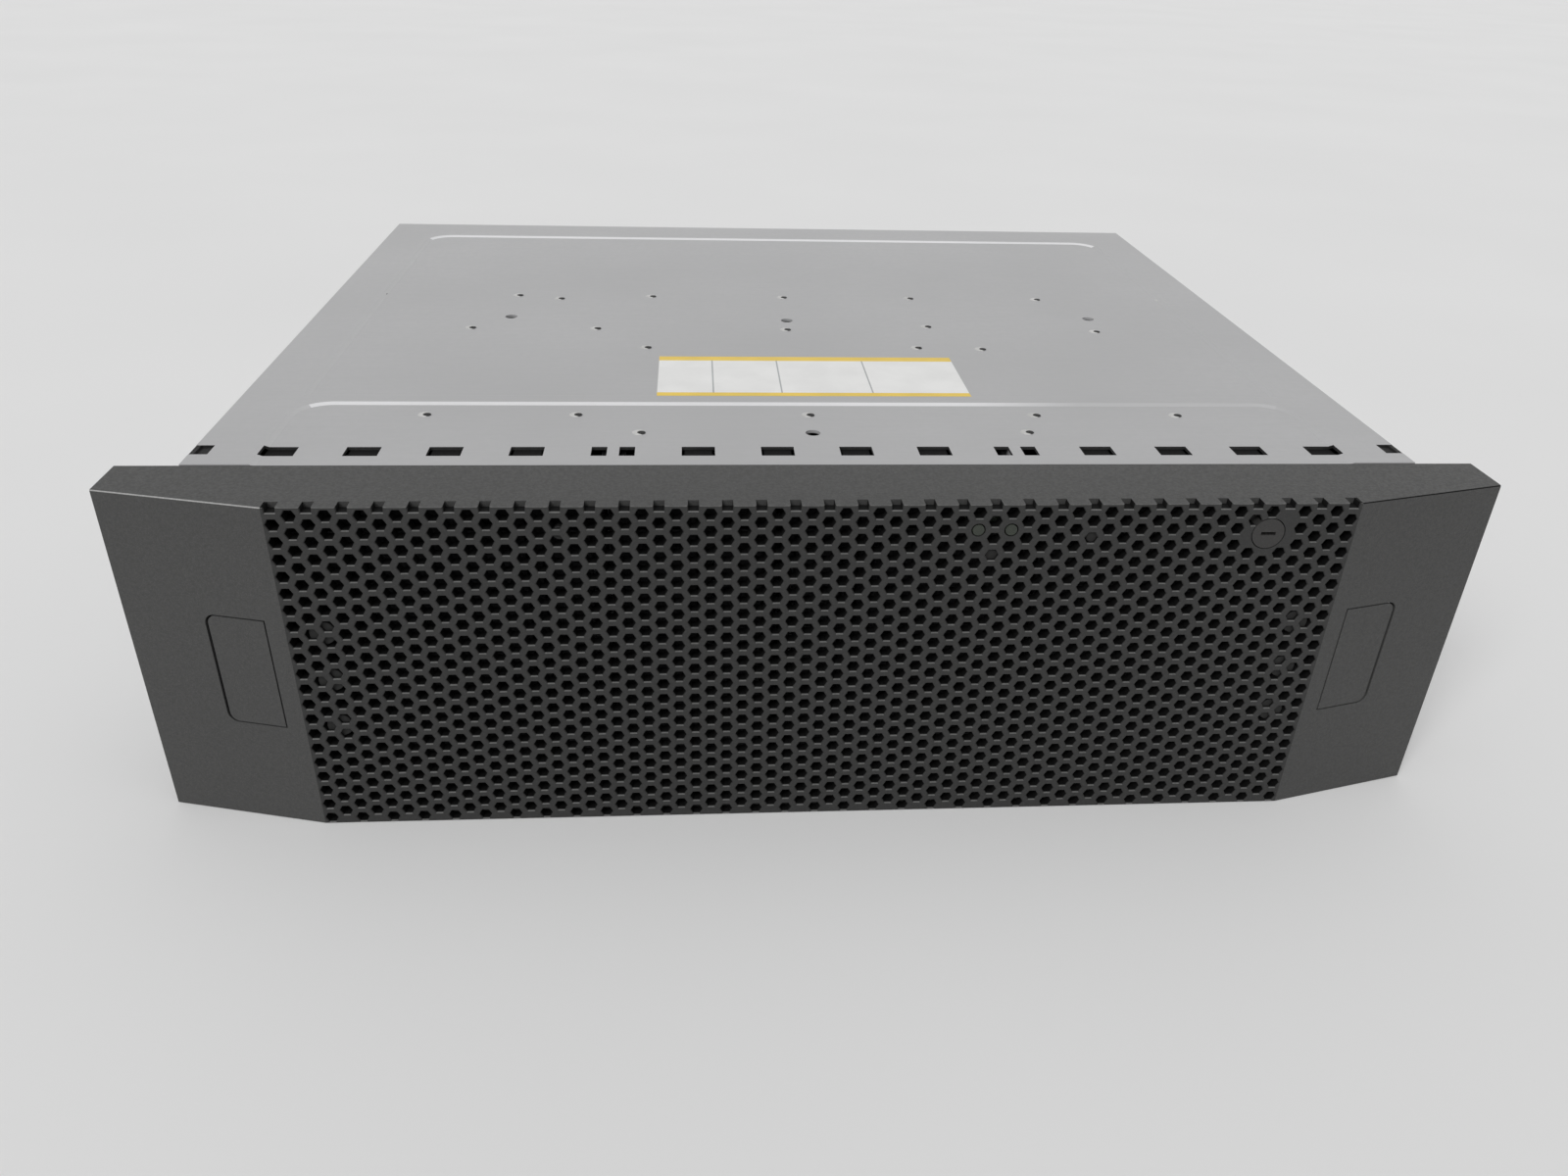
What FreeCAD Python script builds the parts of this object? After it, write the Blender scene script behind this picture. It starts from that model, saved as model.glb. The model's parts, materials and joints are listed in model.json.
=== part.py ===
"""Disk shelf enclosure: a three-unit rack chassis with fifteen upright disk modules.

Frame: +X right (seen from the front), +Y to the rear, +Z up.  The origin is the centre of the
chassis's bottom face.  All sizes are millimetres.  Each node is written to parts/NODE.step.
"""
import FreeCAD, Part
import math
import os
from FreeCAD import Vector

# ---------------------------------------------------------------- driving dimensions
# Envelope of the sheet metal chassis
RACK_FACE_WIDTH = 482.6        # standard nineteen inch front
EAR_OVERHANG = 21.3             # from the chassis's side to the edge of the rack face
CHASSIS_WIDTH = RACK_FACE_WIDTH - 2 * EAR_OVERHANG
CHASSIS_HEIGHT = 131.0
CHASSIS_DEPTH = 355.6
TUB_SHEET = 1.0
COVER_SHEET = 1.2
RUN_GAP = 0.4                  # clearance beside a piece that slides
SEAT_GAP = 0.3                 # clearance between pieces that meet and part

# Disk bays: groups of bays with a partition between them
GROUPS = 3
BAYS_PER_GROUP = 5
PARTITION_WIDTH = 3.6
BAY_MARGIN = 0.4                # from the chassis's outer face to the outermost bay
BAY_PITCH = (CHASSIS_WIDTH - 2 * BAY_MARGIN - (GROUPS - 1) * PARTITION_WIDTH) / (GROUPS * BAYS_PER_GROUP)
PARTITION_SHEET = 1.0

# Top cover
HEM_DROP = 2.6
SLOT_LENGTH = 12.0
SLOT_WIDTH = 5.9
SLOT_ROW_DEPTH = 12.2          # from the chassis front to the middle of the slot row
SHORT_SLOT_LENGTH = 5.5
PRESSING_DEPTH = 0.7
PRESSING_SLOPE = 2.0
PRESSING_CORNER = 14.0
PRESSING_MARGIN = 23.0         # from the cover's side edge
FRONT_PRESSING_END = 60.0
REAR_PRESSING_START = 67.0
REAR_PRESSING_MARGIN = 26.5    # from the cover's rear edge
COVER_HOLE_R = 2.8
COVER_HOLES = [(0.0, 30.1), (-130.5, 173.7), (0.0, 170.5), (149.3, 176.6)]

# Guide rails for the disk modules
RAIL_FOOT_WIDTH = 10.0
RAIL_FOOT = 1.0
RAIL_RIB = 1.2
RAIL_RIB_HEIGHT = 6.0
RAIL_LEAD_IN = 5.0
RAIL_FRONT = 6.0

# Disk module: a drive on edge between two runners behind a fascia
CARRIER_GAP = 2.0               # between neighbouring carriers
CARRIER_WIDTH = BAY_PITCH - CARRIER_GAP
FASCIA_PROUD = 3.0
FASCIA_THICKNESS = 5.0
FASCIA_STILE = 3.9
FASCIA_WINDOW_WIDTH = CARRIER_WIDTH - 2 * FASCIA_STILE
FASCIA_WINDOW_HEIGHT = 27.0
FASCIA_BAR = 6.0
RUNNER_SHEET = 1.6
DRIVE_WIDTH = CARRIER_WIDTH - 0.7
DRIVE_HEIGHT = 101.6
DRIVE_LENGTH = 147.0
DRIVE_SET_BACK = 10.0          # from the chassis front to the drive
PLUG_WIDTH = 5.0
PLUG_HEIGHT = 40.0
PLUG_DEPTH = 4.0
PLUG_LIFT = 20.0               # from the drive's lower edge

# Carrier handle: a lever hinged at the foot of the fascia
HANDLE_INSET = 4.9              # from the fascia's edge to the lever
HANDLE_WIDTH = CARRIER_WIDTH - 2 * HANDLE_INSET
HANDLE_THICKNESS = 3.0
HANDLE_LENGTH = 98.0
HANDLE_PIVOT_HEIGHT = 10.0     # above the carrier's underside
HANDLE_KNUCKLE_R = 2.8
HANDLE_GAP = 1.0               # between the lever and the fascia
KNUCKLE_EAR = 3.0

# Midplane
MIDPLANE_THICKNESS = 2.4
CONNECTOR_DEPTH = 6.0
CARD_SOCKET_WIDTH = 80.0
CARD_SOCKET_HEIGHT = 10.0
POWER_SOCKET_WIDTH = 40.0
POWER_SOCKET_HEIGHT = 12.0
POWER_SOCKET_LIFT = 8.0         # from the power module's underside
AIR_WINDOW_WIDTH = 17.0
AIR_WINDOW_HEIGHT = 36.0

# Link cards, one above and one below the shelf
SHELF_SHEET = 1.0
CARD_WIDTH = 252.0
CARD_HEIGHT = 26.0
CARD_SHEET = 1.0
CARD_FACE = 1.5
CARD_SIDE_HEIGHT = 9.0
CARD_RAIL_LIP = 4.0
BOARD_THICKNESS = 1.6
BOARD_STANDOFF = 3.0
BOARD_STANDOFF_WIDTH = 6.0
BOARD_STANDOFF_INSET = 20.0
BOARD_EDGE = 4.0
PORT_WIDTH = 13.8
PORT_HEIGHT = 8.8
PORT_DEPTH = 45.0
PORT_WALL = 0.8
PORT_PITCH = 22.0
PORT_MIDDLE = -84.0
HEAT_SINK = 32.0
HEAT_SINK_BASE = 3.0
HEAT_SINK_HEIGHT = 13.0
HEAT_SINK_FINS = 6

# Power and cooling modules, U-shaped round the cards
POWER_SHEET = 1.2
DUCT_R = 27.0
DUCT_WALL = 1.5
DUCT_DEPTH = 38.0
LOUVRE_COUNT = 5
LOUVRE_HEIGHT = 6.4
ROTOR_R = 26.0
ROTOR_HUB_R = 11.5
ROTOR_DEPTH = 22.0
ROTOR_BLADES = 7
BLADE_THICKNESS = 1.4
BLADE_ANGLE = 40.0
ROTOR_SHAFT_R = 2.0
ROTOR_SHAFT_FIT = 0.05
ROTOR_SET_BACK = 3.0
STATOR_CUP_DEPTH = 5.0
STATOR_STRUT = 3.0
INLET_WIDTH = 27.0
INLET_HEIGHT = 20.0
INLET_CAVITY_WIDTH = 22.5
INLET_CAVITY_HEIGHT = 15.0
INLET_DEPTH = 20.0
INLET_FLANGE = 2.0
INLET_FLANGE_RIM = 3.0
INLET_PIN_LENGTH = 10.0
INLET_PIN_PITCH = 7.0
INLET_X = -75.0
SWITCH_WIDTH = 13.0
SWITCH_HEIGHT = 18.0
SWITCH_DEPTH = 8.0
SWITCH_TILT = 8.0              # degrees either side of level
SWITCH_X = 75.0
SWITCH_CLEAR = 2.4             # above and below the rocker, for its swing

# Pull levers at the rear, on the power modules and on the cards
LEVER_THICKNESS = 3.0
LEVER_EAR = 2.5
LEVER_PIVOT_R = 2.2
POWER_LEVER_WIDTH = 70.0
POWER_LEVER_LENGTH = 20.0
CARD_LEVER_WIDTH = 60.0
CARD_LEVER_LENGTH = 14.0
LEVER_WINDOW_SHARE = 0.6
LEVER_WINDOW_HEIGHT = 6.0

# Bezel
BEZEL_INSET = 0.3               # below the chassis's top and above its underside
BEZEL_HEIGHT = CHASSIS_HEIGHT - 2 * BEZEL_INSET
BEZEL_REACH = 33.5             # from the chassis front to the bezel's face
BEZEL_EDGE_REACH = 19.5        # from the chassis front to the wings' outer edges
BEZEL_WALL = 3.0
WING_SPAN = 58.1                # from the grille to the bezel's outer edge
GRILLE_WIDTH = RACK_FACE_WIDTH - 2 * WING_SPAN
GRILLE_THICKNESS = 4.5
GRILLE_COLUMN = 5.64           # between columns of holes in the moulding
GRILLE_ROW = 6.433             # between holes of one column in the moulding
GRILLE_HOLE = 4.1              # across the hexagon's flats
GRILLE_COARSENESS = 3.5        # the solid's lattice against the moulding's
GRILLE_EDGE = 1.2

# Latch buttons in the wings
BUTTON_WIDTH = 21.5
BUTTON_HEIGHT = 43.8
BUTTON_START = 7.5             # along the wing, from the bend
BUTTON_DROP = 0.3               # below the middle of the chassis
BUTTON_MIDDLE = CHASSIS_HEIGHT / 2 - BUTTON_DROP
BUTTON_CORNER = 3.5
BUTTON_THICKNESS = 3.0
BUTTON_GAP = 0.5
HOOK_HEIGHT = 10.0
HOOK_THICKNESS = 2.0
HOOK_OFFSET = 14.0             # from the chassis front to the arm's front face
HOOK_INSET = 13.3               # from the bezel's outer edge
HOOK_X = RACK_FACE_WIDTH / 2 - HOOK_INSET
HOOK_REACH = 4.0
HOOK_SLOT_WIDTH = 7.0
HOOK_SLOT_HEIGHT = 16.0

# Bezel lock and status lights
LOCK_INSET = 30.9               # from the grille's right edge
LOCK_DROP = 11.5                # below the bezel's top edge
LOCK_X = GRILLE_WIDTH / 2 - LOCK_INSET
LOCK_HEIGHT = BEZEL_INSET + BEZEL_HEIGHT - LOCK_DROP
LOCK_R = 5.6
LOCK_FIT = 0.05
LOCK_SLEEVE_R = 8.0
LOCK_LENGTH = 20.0
KEYWAY_LENGTH = 5.2
KEYWAY_WIDTH = 1.2
KEYWAY_DEPTH = 6.0
CAM_LENGTH = 18.0
CAM_WIDTH = 8.0
CAM_THICKNESS = 2.0
LIGHT_R = 2.0
LIGHT_DROP = 9.5                # below the bezel's top edge
LIGHT_HEIGHT = BEZEL_INSET + BEZEL_HEIGHT - LIGHT_DROP
LIGHT_XS = [50.76, 62.04]
LIGHT_LENGTH = 7.5
LIGHT_BAR_HEIGHT = 6.0
LIGHT_BAR_THICKNESS = 3.0

# Rack ears
EAR_SHEET = 2.0
EAR_FLANGE = 30.0
EAR_HOLE_INSET = 8.75           # from the rack face's edge to the middle of a slot
EAR_HOLE_SPACING_X = RACK_FACE_WIDTH - 2 * EAR_HOLE_INSET
EAR_HOLE_SPACING_Z = 57.15
EAR_SLOT_LENGTH = 10.3
EAR_SLOT_WIDTH = 6.8

# ---------------------------------------------------------------- derived places
FRONT = -CHASSIS_DEPTH / 2
REAR = CHASSIS_DEPTH / 2
INNER_HALF = CHASSIS_WIDTH / 2 - TUB_SHEET
COVER_UNDERSIDE = CHASSIS_HEIGHT - COVER_SHEET
BAY_CEILING = COVER_UNDERSIDE - PRESSING_DEPTH
BAY_COUNT = GROUPS * BAYS_PER_GROUP
BAYS_WIDTH = BAY_COUNT * BAY_PITCH + (GROUPS - 1) * PARTITION_WIDTH

CARRIER_BOTTOM = TUB_SHEET + RAIL_FOOT + RUN_GAP
CARRIER_TOP = BAY_CEILING - RAIL_FOOT - RUN_GAP
RUNNER_HEIGHT = (CARRIER_TOP - CARRIER_BOTTOM - DRIVE_HEIGHT) / 2
DRIVE_FRONT = FRONT + DRIVE_SET_BACK
DRIVE_REAR = DRIVE_FRONT + DRIVE_LENGTH
DRIVE_BOTTOM = CARRIER_BOTTOM + RUNNER_HEIGHT
MIDPLANE_FRONT = DRIVE_REAR + PLUG_DEPTH + RUN_GAP + CONNECTOR_DEPTH
MIDPLANE_REAR = MIDPLANE_FRONT + MIDPLANE_THICKNESS
MODULE_FRONT = MIDPLANE_REAR + CONNECTOR_DEPTH + RUN_GAP

SHELF_MIDDLE = (TUB_SHEET + BAY_CEILING) / 2
SHELF_TOP = SHELF_MIDDLE + SHELF_SHEET / 2
CARD_BOTTOM = SHELF_TOP + RUN_GAP
CARD_TOP = CARD_BOTTOM + CARD_HEIGHT
CARD_RAIL_INNER = CARD_WIDTH / 2 + RUN_GAP
CARD_RAIL_OUTER = CARD_RAIL_INNER + SHELF_SHEET
CARD_RAIL_TOP = CARD_TOP + RUN_GAP + SHELF_SHEET
POWER_HALF = INNER_HALF - RUN_GAP
POWER_BOTTOM = SHELF_TOP + RUN_GAP
POWER_TOP = BAY_CEILING - RUN_GAP
NOTCH_HALF = CARD_RAIL_OUTER + RUN_GAP
NOTCH_TOP = CARD_RAIL_TOP + RUN_GAP
BRIDGE_MIDDLE = (NOTCH_TOP + POWER_TOP) / 2
BLOWER_X = (NOTCH_HALF + POWER_HALF) / 2
BLOWER_Z = (POWER_BOTTOM + POWER_TOP) / 2

BEZEL_BOTTOM = BEZEL_INSET
BEZEL_TOP = BEZEL_BOTTOM + BEZEL_HEIGHT
BEZEL_FACE = FRONT - BEZEL_REACH
BEZEL_REAR = FRONT - SEAT_GAP
BEZEL_HALF = RACK_FACE_WIDTH / 2
GRILLE_HALF = GRILLE_WIDTH / 2
GRILLE_BACK = BEZEL_FACE + GRILLE_THICKNESS
WING_ANGLE = math.degrees(math.atan2(BEZEL_REACH - BEZEL_EDGE_REACH, BEZEL_HALF - GRILLE_HALF))
FASCIA_BOTTOM = BEZEL_BOTTOM + BEZEL_WALL + RUN_GAP
FASCIA_TOP = BEZEL_TOP - BEZEL_WALL - RUN_GAP
HANDLE_PIVOT_Z = CARRIER_BOTTOM + HANDLE_PIVOT_HEIGHT
HANDLE_PIVOT_Y = FRONT - FASCIA_PROUD - HANDLE_GAP - HANDLE_KNUCKLE_R


# ---------------------------------------------------------------- shape helpers
def block(x0, x1, y0, y1, z0, z1):
    """A box between two corners."""
    return Part.makeBox(x1 - x0, y1 - y0, z1 - z0, Vector(x0, y0, z0))


def prism(points, travel):
    """A flat outline of 3-D points, swept along the vector travel."""
    return Part.Face(Part.makePolygon(points + [points[0]])).extrude(travel)


def prism_x(yz_points, x0, x1):
    return prism([Vector(x0, y, z) for y, z in yz_points], Vector(x1 - x0, 0, 0))


def prism_y(xz_points, y0, y1):
    return prism([Vector(x, y0, z) for x, z in xz_points], Vector(0, y1 - y0, 0))


def prism_z(xy_points, z0, z1):
    return prism([Vector(x, y, z0) for x, y in xy_points], Vector(0, 0, z1 - z0))


def rod_x(y, z, radius, x0, x1):
    return Part.makeCylinder(radius, x1 - x0, Vector(x0, y, z), Vector(1, 0, 0))


def rod_y(x, z, radius, y0, y1):
    return Part.makeCylinder(radius, y1 - y0, Vector(x, y0, z), Vector(0, 1, 0))


def fused(shapes):
    return shapes[0].multiFuse(shapes[1:]).removeSplitter() if len(shapes) > 1 else shapes[0]


def moved(shape, x=0.0, y=0.0, z=0.0):
    copy = shape.copy()
    copy.translate(Vector(x, y, z))
    return copy


def mirrored_x(shape):
    return shape.mirror(Vector(0, 0, 0), Vector(1, 0, 0))


def turned_over(shape):
    """The same piece in the lower half of the rear: half a turn about the shelf's middle line."""
    copy = shape.copy()
    copy.rotate(Vector(0, 0, SHELF_MIDDLE), Vector(0, 1, 0), 180)
    return copy


def hexagon(x, z, flats):
    """Corner points in XZ of a hexagon with flat top and bottom."""
    radius = flats / math.sqrt(3)
    return [(x + radius * math.cos(math.radians(60 * i)), z + radius * math.sin(math.radians(60 * i)))
            for i in range(6)]


def wire_y(xz_points, y):
    points = [Vector(x, y, z) for x, z in xz_points]
    return Part.makePolygon(points + [points[0]])


def export(name, *solids):
    """Writes one node; several solids stay separate in one file."""
    shape = solids[0] if len(solids) == 1 else Part.makeCompound(list(solids))
    shape.exportStep(os.path.join("parts", name + ".step"))


# ---------------------------------------------------------------- bay layout
def boundary_x(index):
    """The place of the line between bays, counted from the left wall."""
    passed = sum(1 for group in range(1, GROUPS) if index > group * BAYS_PER_GROUP)
    at_partition = any(index == group * BAYS_PER_GROUP for group in range(1, GROUPS))
    extra = passed * PARTITION_WIDTH + (PARTITION_WIDTH / 2 if at_partition else 0)
    return index * BAY_PITCH + extra - BAYS_WIDTH / 2


def is_partition(index):
    return index % BAYS_PER_GROUP == 0


def bay_middle(bay):
    """The middle of a bay, counted from 0 at the left."""
    return bay * BAY_PITCH + (bay // BAYS_PER_GROUP) * PARTITION_WIDTH + (BAY_PITCH - BAYS_WIDTH) / 2


# ---------------------------------------------------------------- chassis
def chassis_tub():
    """Floor and side walls, folded from one sheet."""
    half = CHASSIS_WIDTH / 2
    profile = [(-half, 0), (half, 0), (half, COVER_UNDERSIDE), (INNER_HALF, COVER_UNDERSIDE),
               (INNER_HALF, TUB_SHEET), (-INNER_HALF, TUB_SHEET), (-INNER_HALF, COVER_UNDERSIDE),
               (-half, COVER_UNDERSIDE)]
    return prism_y(profile, FRONT, REAR)


def pressing(y0, y1, corner_front):
    """The hollow above a shallow pressed panel, with sloping sides and rounded rear corners."""
    half = CHASSIS_WIDTH / 2 - PRESSING_MARGIN

    def outline(inset, z):
        x, rear = half - inset, y1 - inset
        front = y0 + (inset if corner_front else 0)
        r = PRESSING_CORNER - inset
        lean = r * (1 - math.sqrt(0.5))
        points = [Vector(-x, front, z), Vector(-x, rear - r, z), Vector(-x + r, rear, z),
                  Vector(x - r, rear, z), Vector(x, rear - r, z), Vector(x, front, z)]
        left = Part.Arc(points[1], Vector(-x + lean, rear - lean, z), points[2]).toShape()
        right = Part.Arc(points[3], Vector(x - lean, rear - lean, z), points[4]).toShape()
        return Part.Wire([Part.makeLine(points[0], points[1]), left, Part.makeLine(points[2], points[3]),
                          right, Part.makeLine(points[4], points[5]), Part.makeLine(points[5], points[0])])

    floor = outline(PRESSING_SLOPE, CHASSIS_HEIGHT - PRESSING_DEPTH)
    return Part.makeLoft([floor, outline(0, CHASSIS_HEIGHT)], True, True)


def cover_slots():
    """Boxes that cut the row of slots, one at each line between bays."""
    half_row = SLOT_WIDTH / 2
    y0, y1 = FRONT + SLOT_ROW_DEPTH - half_row, FRONT + SLOT_ROW_DEPTH + half_row
    z0, z1 = BAY_CEILING - 1, CHASSIS_HEIGHT + 1
    cuts = []
    for index in range(BAY_COUNT + 1):
        x = boundary_x(index)
        if index in (0, BAY_COUNT):
            edge = math.copysign(INNER_HALF, x)
            inner = math.copysign(abs(x) - SLOT_LENGTH / 2, x)
            cuts.append(block(min(edge, inner), max(edge, inner), y0, y1, z0, z1))
        elif is_partition(index):
            near = PARTITION_WIDTH / 2 + RUN_GAP
            far = near + SHORT_SLOT_LENGTH
            cuts.append(block(x - far, x - near, y0, y1, z0, z1))
            cuts.append(block(x + near, x + far, y0, y1, z0, z1))
        else:
            cuts.append(block(x - SLOT_LENGTH / 2, x + SLOT_LENGTH / 2, y0, y1, z0, z1))
    return cuts


def top_cover():
    """The flat top with its front hem, two pressed panels, slot row and holes."""
    half = CHASSIS_WIDTH / 2
    sheet = block(-half, half, FRONT, REAR, COVER_UNDERSIDE, CHASSIS_HEIGHT)
    hem = block(-INNER_HALF, INNER_HALF, FRONT, FRONT + COVER_SHEET,
                COVER_UNDERSIDE - HEM_DROP + COVER_SHEET, COVER_UNDERSIDE)
    hollows = [pressing(FRONT, FRONT + FRONT_PRESSING_END, False),
               pressing(FRONT + REAR_PRESSING_START, REAR - REAR_PRESSING_MARGIN, True)]
    undersides = [moved(hollow, z=-COVER_SHEET) for hollow in hollows]
    holes = [Part.makeCylinder(COVER_HOLE_R, COVER_SHEET + PRESSING_DEPTH + 2,
                               Vector(x, FRONT + y, BAY_CEILING - 1)) for x, y in COVER_HOLES]
    cover = sheet.multiFuse([hem] + undersides)
    return cover.cut(hollows).cut(cover_slots() + holes).removeSplitter()


def bay_partitions():
    """Folded walls between the groups of bays, closed at the front."""
    walls = []
    half, inner = PARTITION_WIDTH / 2, PARTITION_WIDTH / 2 - PARTITION_SHEET
    front = FRONT + COVER_SHEET + RUN_GAP
    for group in range(1, GROUPS):
        x = boundary_x(group * BAYS_PER_GROUP)
        outline = [(x - half, front), (x + half, front), (x + half, MIDPLANE_FRONT),
                   (x + inner, MIDPLANE_FRONT), (x + inner, front + PARTITION_SHEET),
                   (x - inner, front + PARTITION_SHEET), (x - inner, MIDPLANE_FRONT),
                   (x - half, MIDPLANE_FRONT)]
        walls.append(prism_z(outline, TUB_SHEET, BAY_CEILING))
    return walls


def guide_rails():
    """Plastic rails between neighbouring modules, on the floor and under the cover."""
    rails = []
    y0, y1 = FRONT + RAIL_FRONT, DRIVE_REAR
    rib_top = TUB_SHEET + RAIL_FOOT + RAIL_RIB_HEIGHT
    rib_side = [(y0 + RAIL_LEAD_IN, TUB_SHEET), (y1, TUB_SHEET), (y1, rib_top),
                (y0 + 2 * RAIL_LEAD_IN, rib_top)]
    for index in range(1, BAY_COUNT):
        if is_partition(index):
            continue
        x = boundary_x(index)
        foot = block(x - RAIL_FOOT_WIDTH / 2, x + RAIL_FOOT_WIDTH / 2, y0, y1, TUB_SHEET,
                     TUB_SHEET + RAIL_FOOT)
        lower = fused([foot, prism_x(rib_side, x - RAIL_RIB / 2, x + RAIL_RIB / 2)])
        upper = lower.mirror(Vector(0, 0, SHELF_MIDDLE), Vector(0, 0, 1))
        rails += [lower, upper]
    return rails


def midplane_board():
    """The circuit board that crosses the chassis, with a window behind each bay for air."""
    cuts = []
    window_z0 = DRIVE_BOTTOM + PLUG_LIFT + PLUG_HEIGHT + 6
    for bay in range(BAY_COUNT):
        x = bay_middle(bay)
        cuts.append(block(x - AIR_WINDOW_WIDTH / 2, x + AIR_WINDOW_WIDTH / 2, MIDPLANE_FRONT - 1,
                          MIDPLANE_REAR + 1, window_z0, window_z0 + AIR_WINDOW_HEIGHT))
    board = block(-INNER_HALF, INNER_HALF, MIDPLANE_FRONT, MIDPLANE_REAR, TUB_SHEET, BAY_CEILING)
    return board.cut(cuts)


def midplane_connectors():
    """A socket for each disk module in front, and sockets for the rear modules behind."""
    sockets = []
    z0 = DRIVE_BOTTOM + PLUG_LIFT
    for bay in range(BAY_COUNT):
        x = bay_middle(bay)
        sockets.append(block(x - PLUG_WIDTH / 2, x + PLUG_WIDTH / 2, MIDPLANE_FRONT - CONNECTOR_DEPTH,
                             MIDPLANE_FRONT, z0, z0 + PLUG_HEIGHT))
    rear_sockets = []
    card_z = CARD_BOTTOM + CARD_SHEET + BOARD_STANDOFF
    power_z = POWER_BOTTOM + POWER_SOCKET_LIFT
    for x, z, width, height in ((0.0, card_z, CARD_SOCKET_WIDTH, CARD_SOCKET_HEIGHT),
                                (BLOWER_X, power_z, POWER_SOCKET_WIDTH, POWER_SOCKET_HEIGHT)):
        rear_sockets.append(block(x - width / 2, x + width / 2, MIDPLANE_REAR,
                                  MIDPLANE_REAR + CONNECTOR_DEPTH, z, z + height))
    return sockets + rear_sockets + [turned_over(socket) for socket in rear_sockets]


def module_shelf():
    """The shelf between the upper and lower modules, with rails that carry both cards."""
    plate = block(-INNER_HALF, INNER_HALF, MIDPLANE_REAR, REAR, SHELF_MIDDLE - SHELF_SHEET / 2, SHELF_TOP)
    rail_outline = [(CARD_RAIL_INNER, SHELF_TOP), (CARD_RAIL_OUTER, SHELF_TOP),
                    (CARD_RAIL_OUTER, CARD_RAIL_TOP), (CARD_RAIL_INNER - CARD_RAIL_LIP, CARD_RAIL_TOP),
                    (CARD_RAIL_INNER - CARD_RAIL_LIP, CARD_RAIL_TOP - SHELF_SHEET),
                    (CARD_RAIL_INNER, CARD_RAIL_TOP - SHELF_SHEET)]
    right = prism_y(rail_outline, MIDPLANE_REAR + CONNECTOR_DEPTH, REAR - CARD_FACE - RUN_GAP)
    left = mirrored_x(right)
    return fused([plate, right, left, turned_over(right), turned_over(left)])


def rack_ears():
    """Angle brackets on both sides of the front, slotted for the rack and for the bezel's hooks."""
    z0, z1 = BEZEL_BOTTOM, BEZEL_TOP
    side = CHASSIS_WIDTH / 2
    plate = block(side, BEZEL_HALF, FRONT, FRONT + EAR_SHEET, z0, z1)
    flange = block(side, side + EAR_SHEET, FRONT, FRONT + EAR_FLANGE, z0, z1)
    cuts = []
    straight = EAR_SLOT_LENGTH - EAR_SLOT_WIDTH
    for level in (-1, 1):
        x = EAR_HOLE_SPACING_X / 2
        z = CHASSIS_HEIGHT / 2 + level * EAR_HOLE_SPACING_Z / 2
        cuts.append(block(x - straight / 2, x + straight / 2, FRONT - 1, FRONT + EAR_SHEET + 1,
                          z - EAR_SLOT_WIDTH / 2, z + EAR_SLOT_WIDTH / 2))
        for end in (-1, 1):
            cuts.append(rod_y(x + end * straight / 2, z, EAR_SLOT_WIDTH / 2, FRONT - 1,
                              FRONT + EAR_SHEET + 1))
    slot_outer = HOOK_X + 1.0
    cuts.append(block(slot_outer - HOOK_SLOT_WIDTH, slot_outer, FRONT - 1, FRONT + EAR_SHEET + 1,
                      BUTTON_MIDDLE - HOOK_SLOT_HEIGHT / 2, BUTTON_MIDDLE + HOOK_SLOT_HEIGHT / 2))
    right = fused([plate, flange]).cut(cuts)
    return [right, mirrored_x(right)]


# ---------------------------------------------------------------- bezel
def on_wing(shape):
    """From a frame lying on the right wing's face (x along it, y inwards) to the row frame."""
    copy = shape.copy()
    copy.rotate(Vector(0, 0, 0), Vector(0, 0, 1), WING_ANGLE)
    copy.translate(Vector(GRILLE_HALF, BEZEL_FACE, 0))
    return copy


def button_outline(grow, y0, y1):
    """A plate with rounded outer corners, in the wing's own frame."""
    s0, s1 = BUTTON_START - grow, BUTTON_START + BUTTON_WIDTH + grow
    z0 = BUTTON_MIDDLE - BUTTON_HEIGHT / 2 - grow
    z1 = BUTTON_MIDDLE + BUTTON_HEIGHT / 2 + grow
    r = BUTTON_CORNER + grow
    lean = r * (1 - math.sqrt(0.5))
    lower = Part.Arc(Vector(s1 - r, y0, z0), Vector(s1 - lean, y0, z0 + lean), Vector(s1, y0, z0 + r))
    upper = Part.Arc(Vector(s1, y0, z1 - r), Vector(s1 - lean, y0, z1 - lean), Vector(s1 - r, y0, z1))
    wire = Part.Wire([Part.makeLine(Vector(s0, y0, z0), Vector(s1 - r, y0, z0)), lower.toShape(),
                      Part.makeLine(Vector(s1, y0, z0 + r), Vector(s1, y0, z1 - r)), upper.toShape(),
                      Part.makeLine(Vector(s1 - r, y0, z1), Vector(s0, y0, z1)),
                      Part.makeLine(Vector(s0, y0, z1), Vector(s0, y0, z0))])
    return Part.Face(wire).extrude(Vector(0, y1 - y0, 0))


def wing_inner_y(x):
    """The inner face of the wing's wall at a distance x from the middle."""
    slope = math.tan(math.radians(WING_ANGLE))
    return BEZEL_FACE + BEZEL_WALL / math.cos(math.radians(WING_ANGLE)) + (x - GRILLE_HALF) * slope


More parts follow.
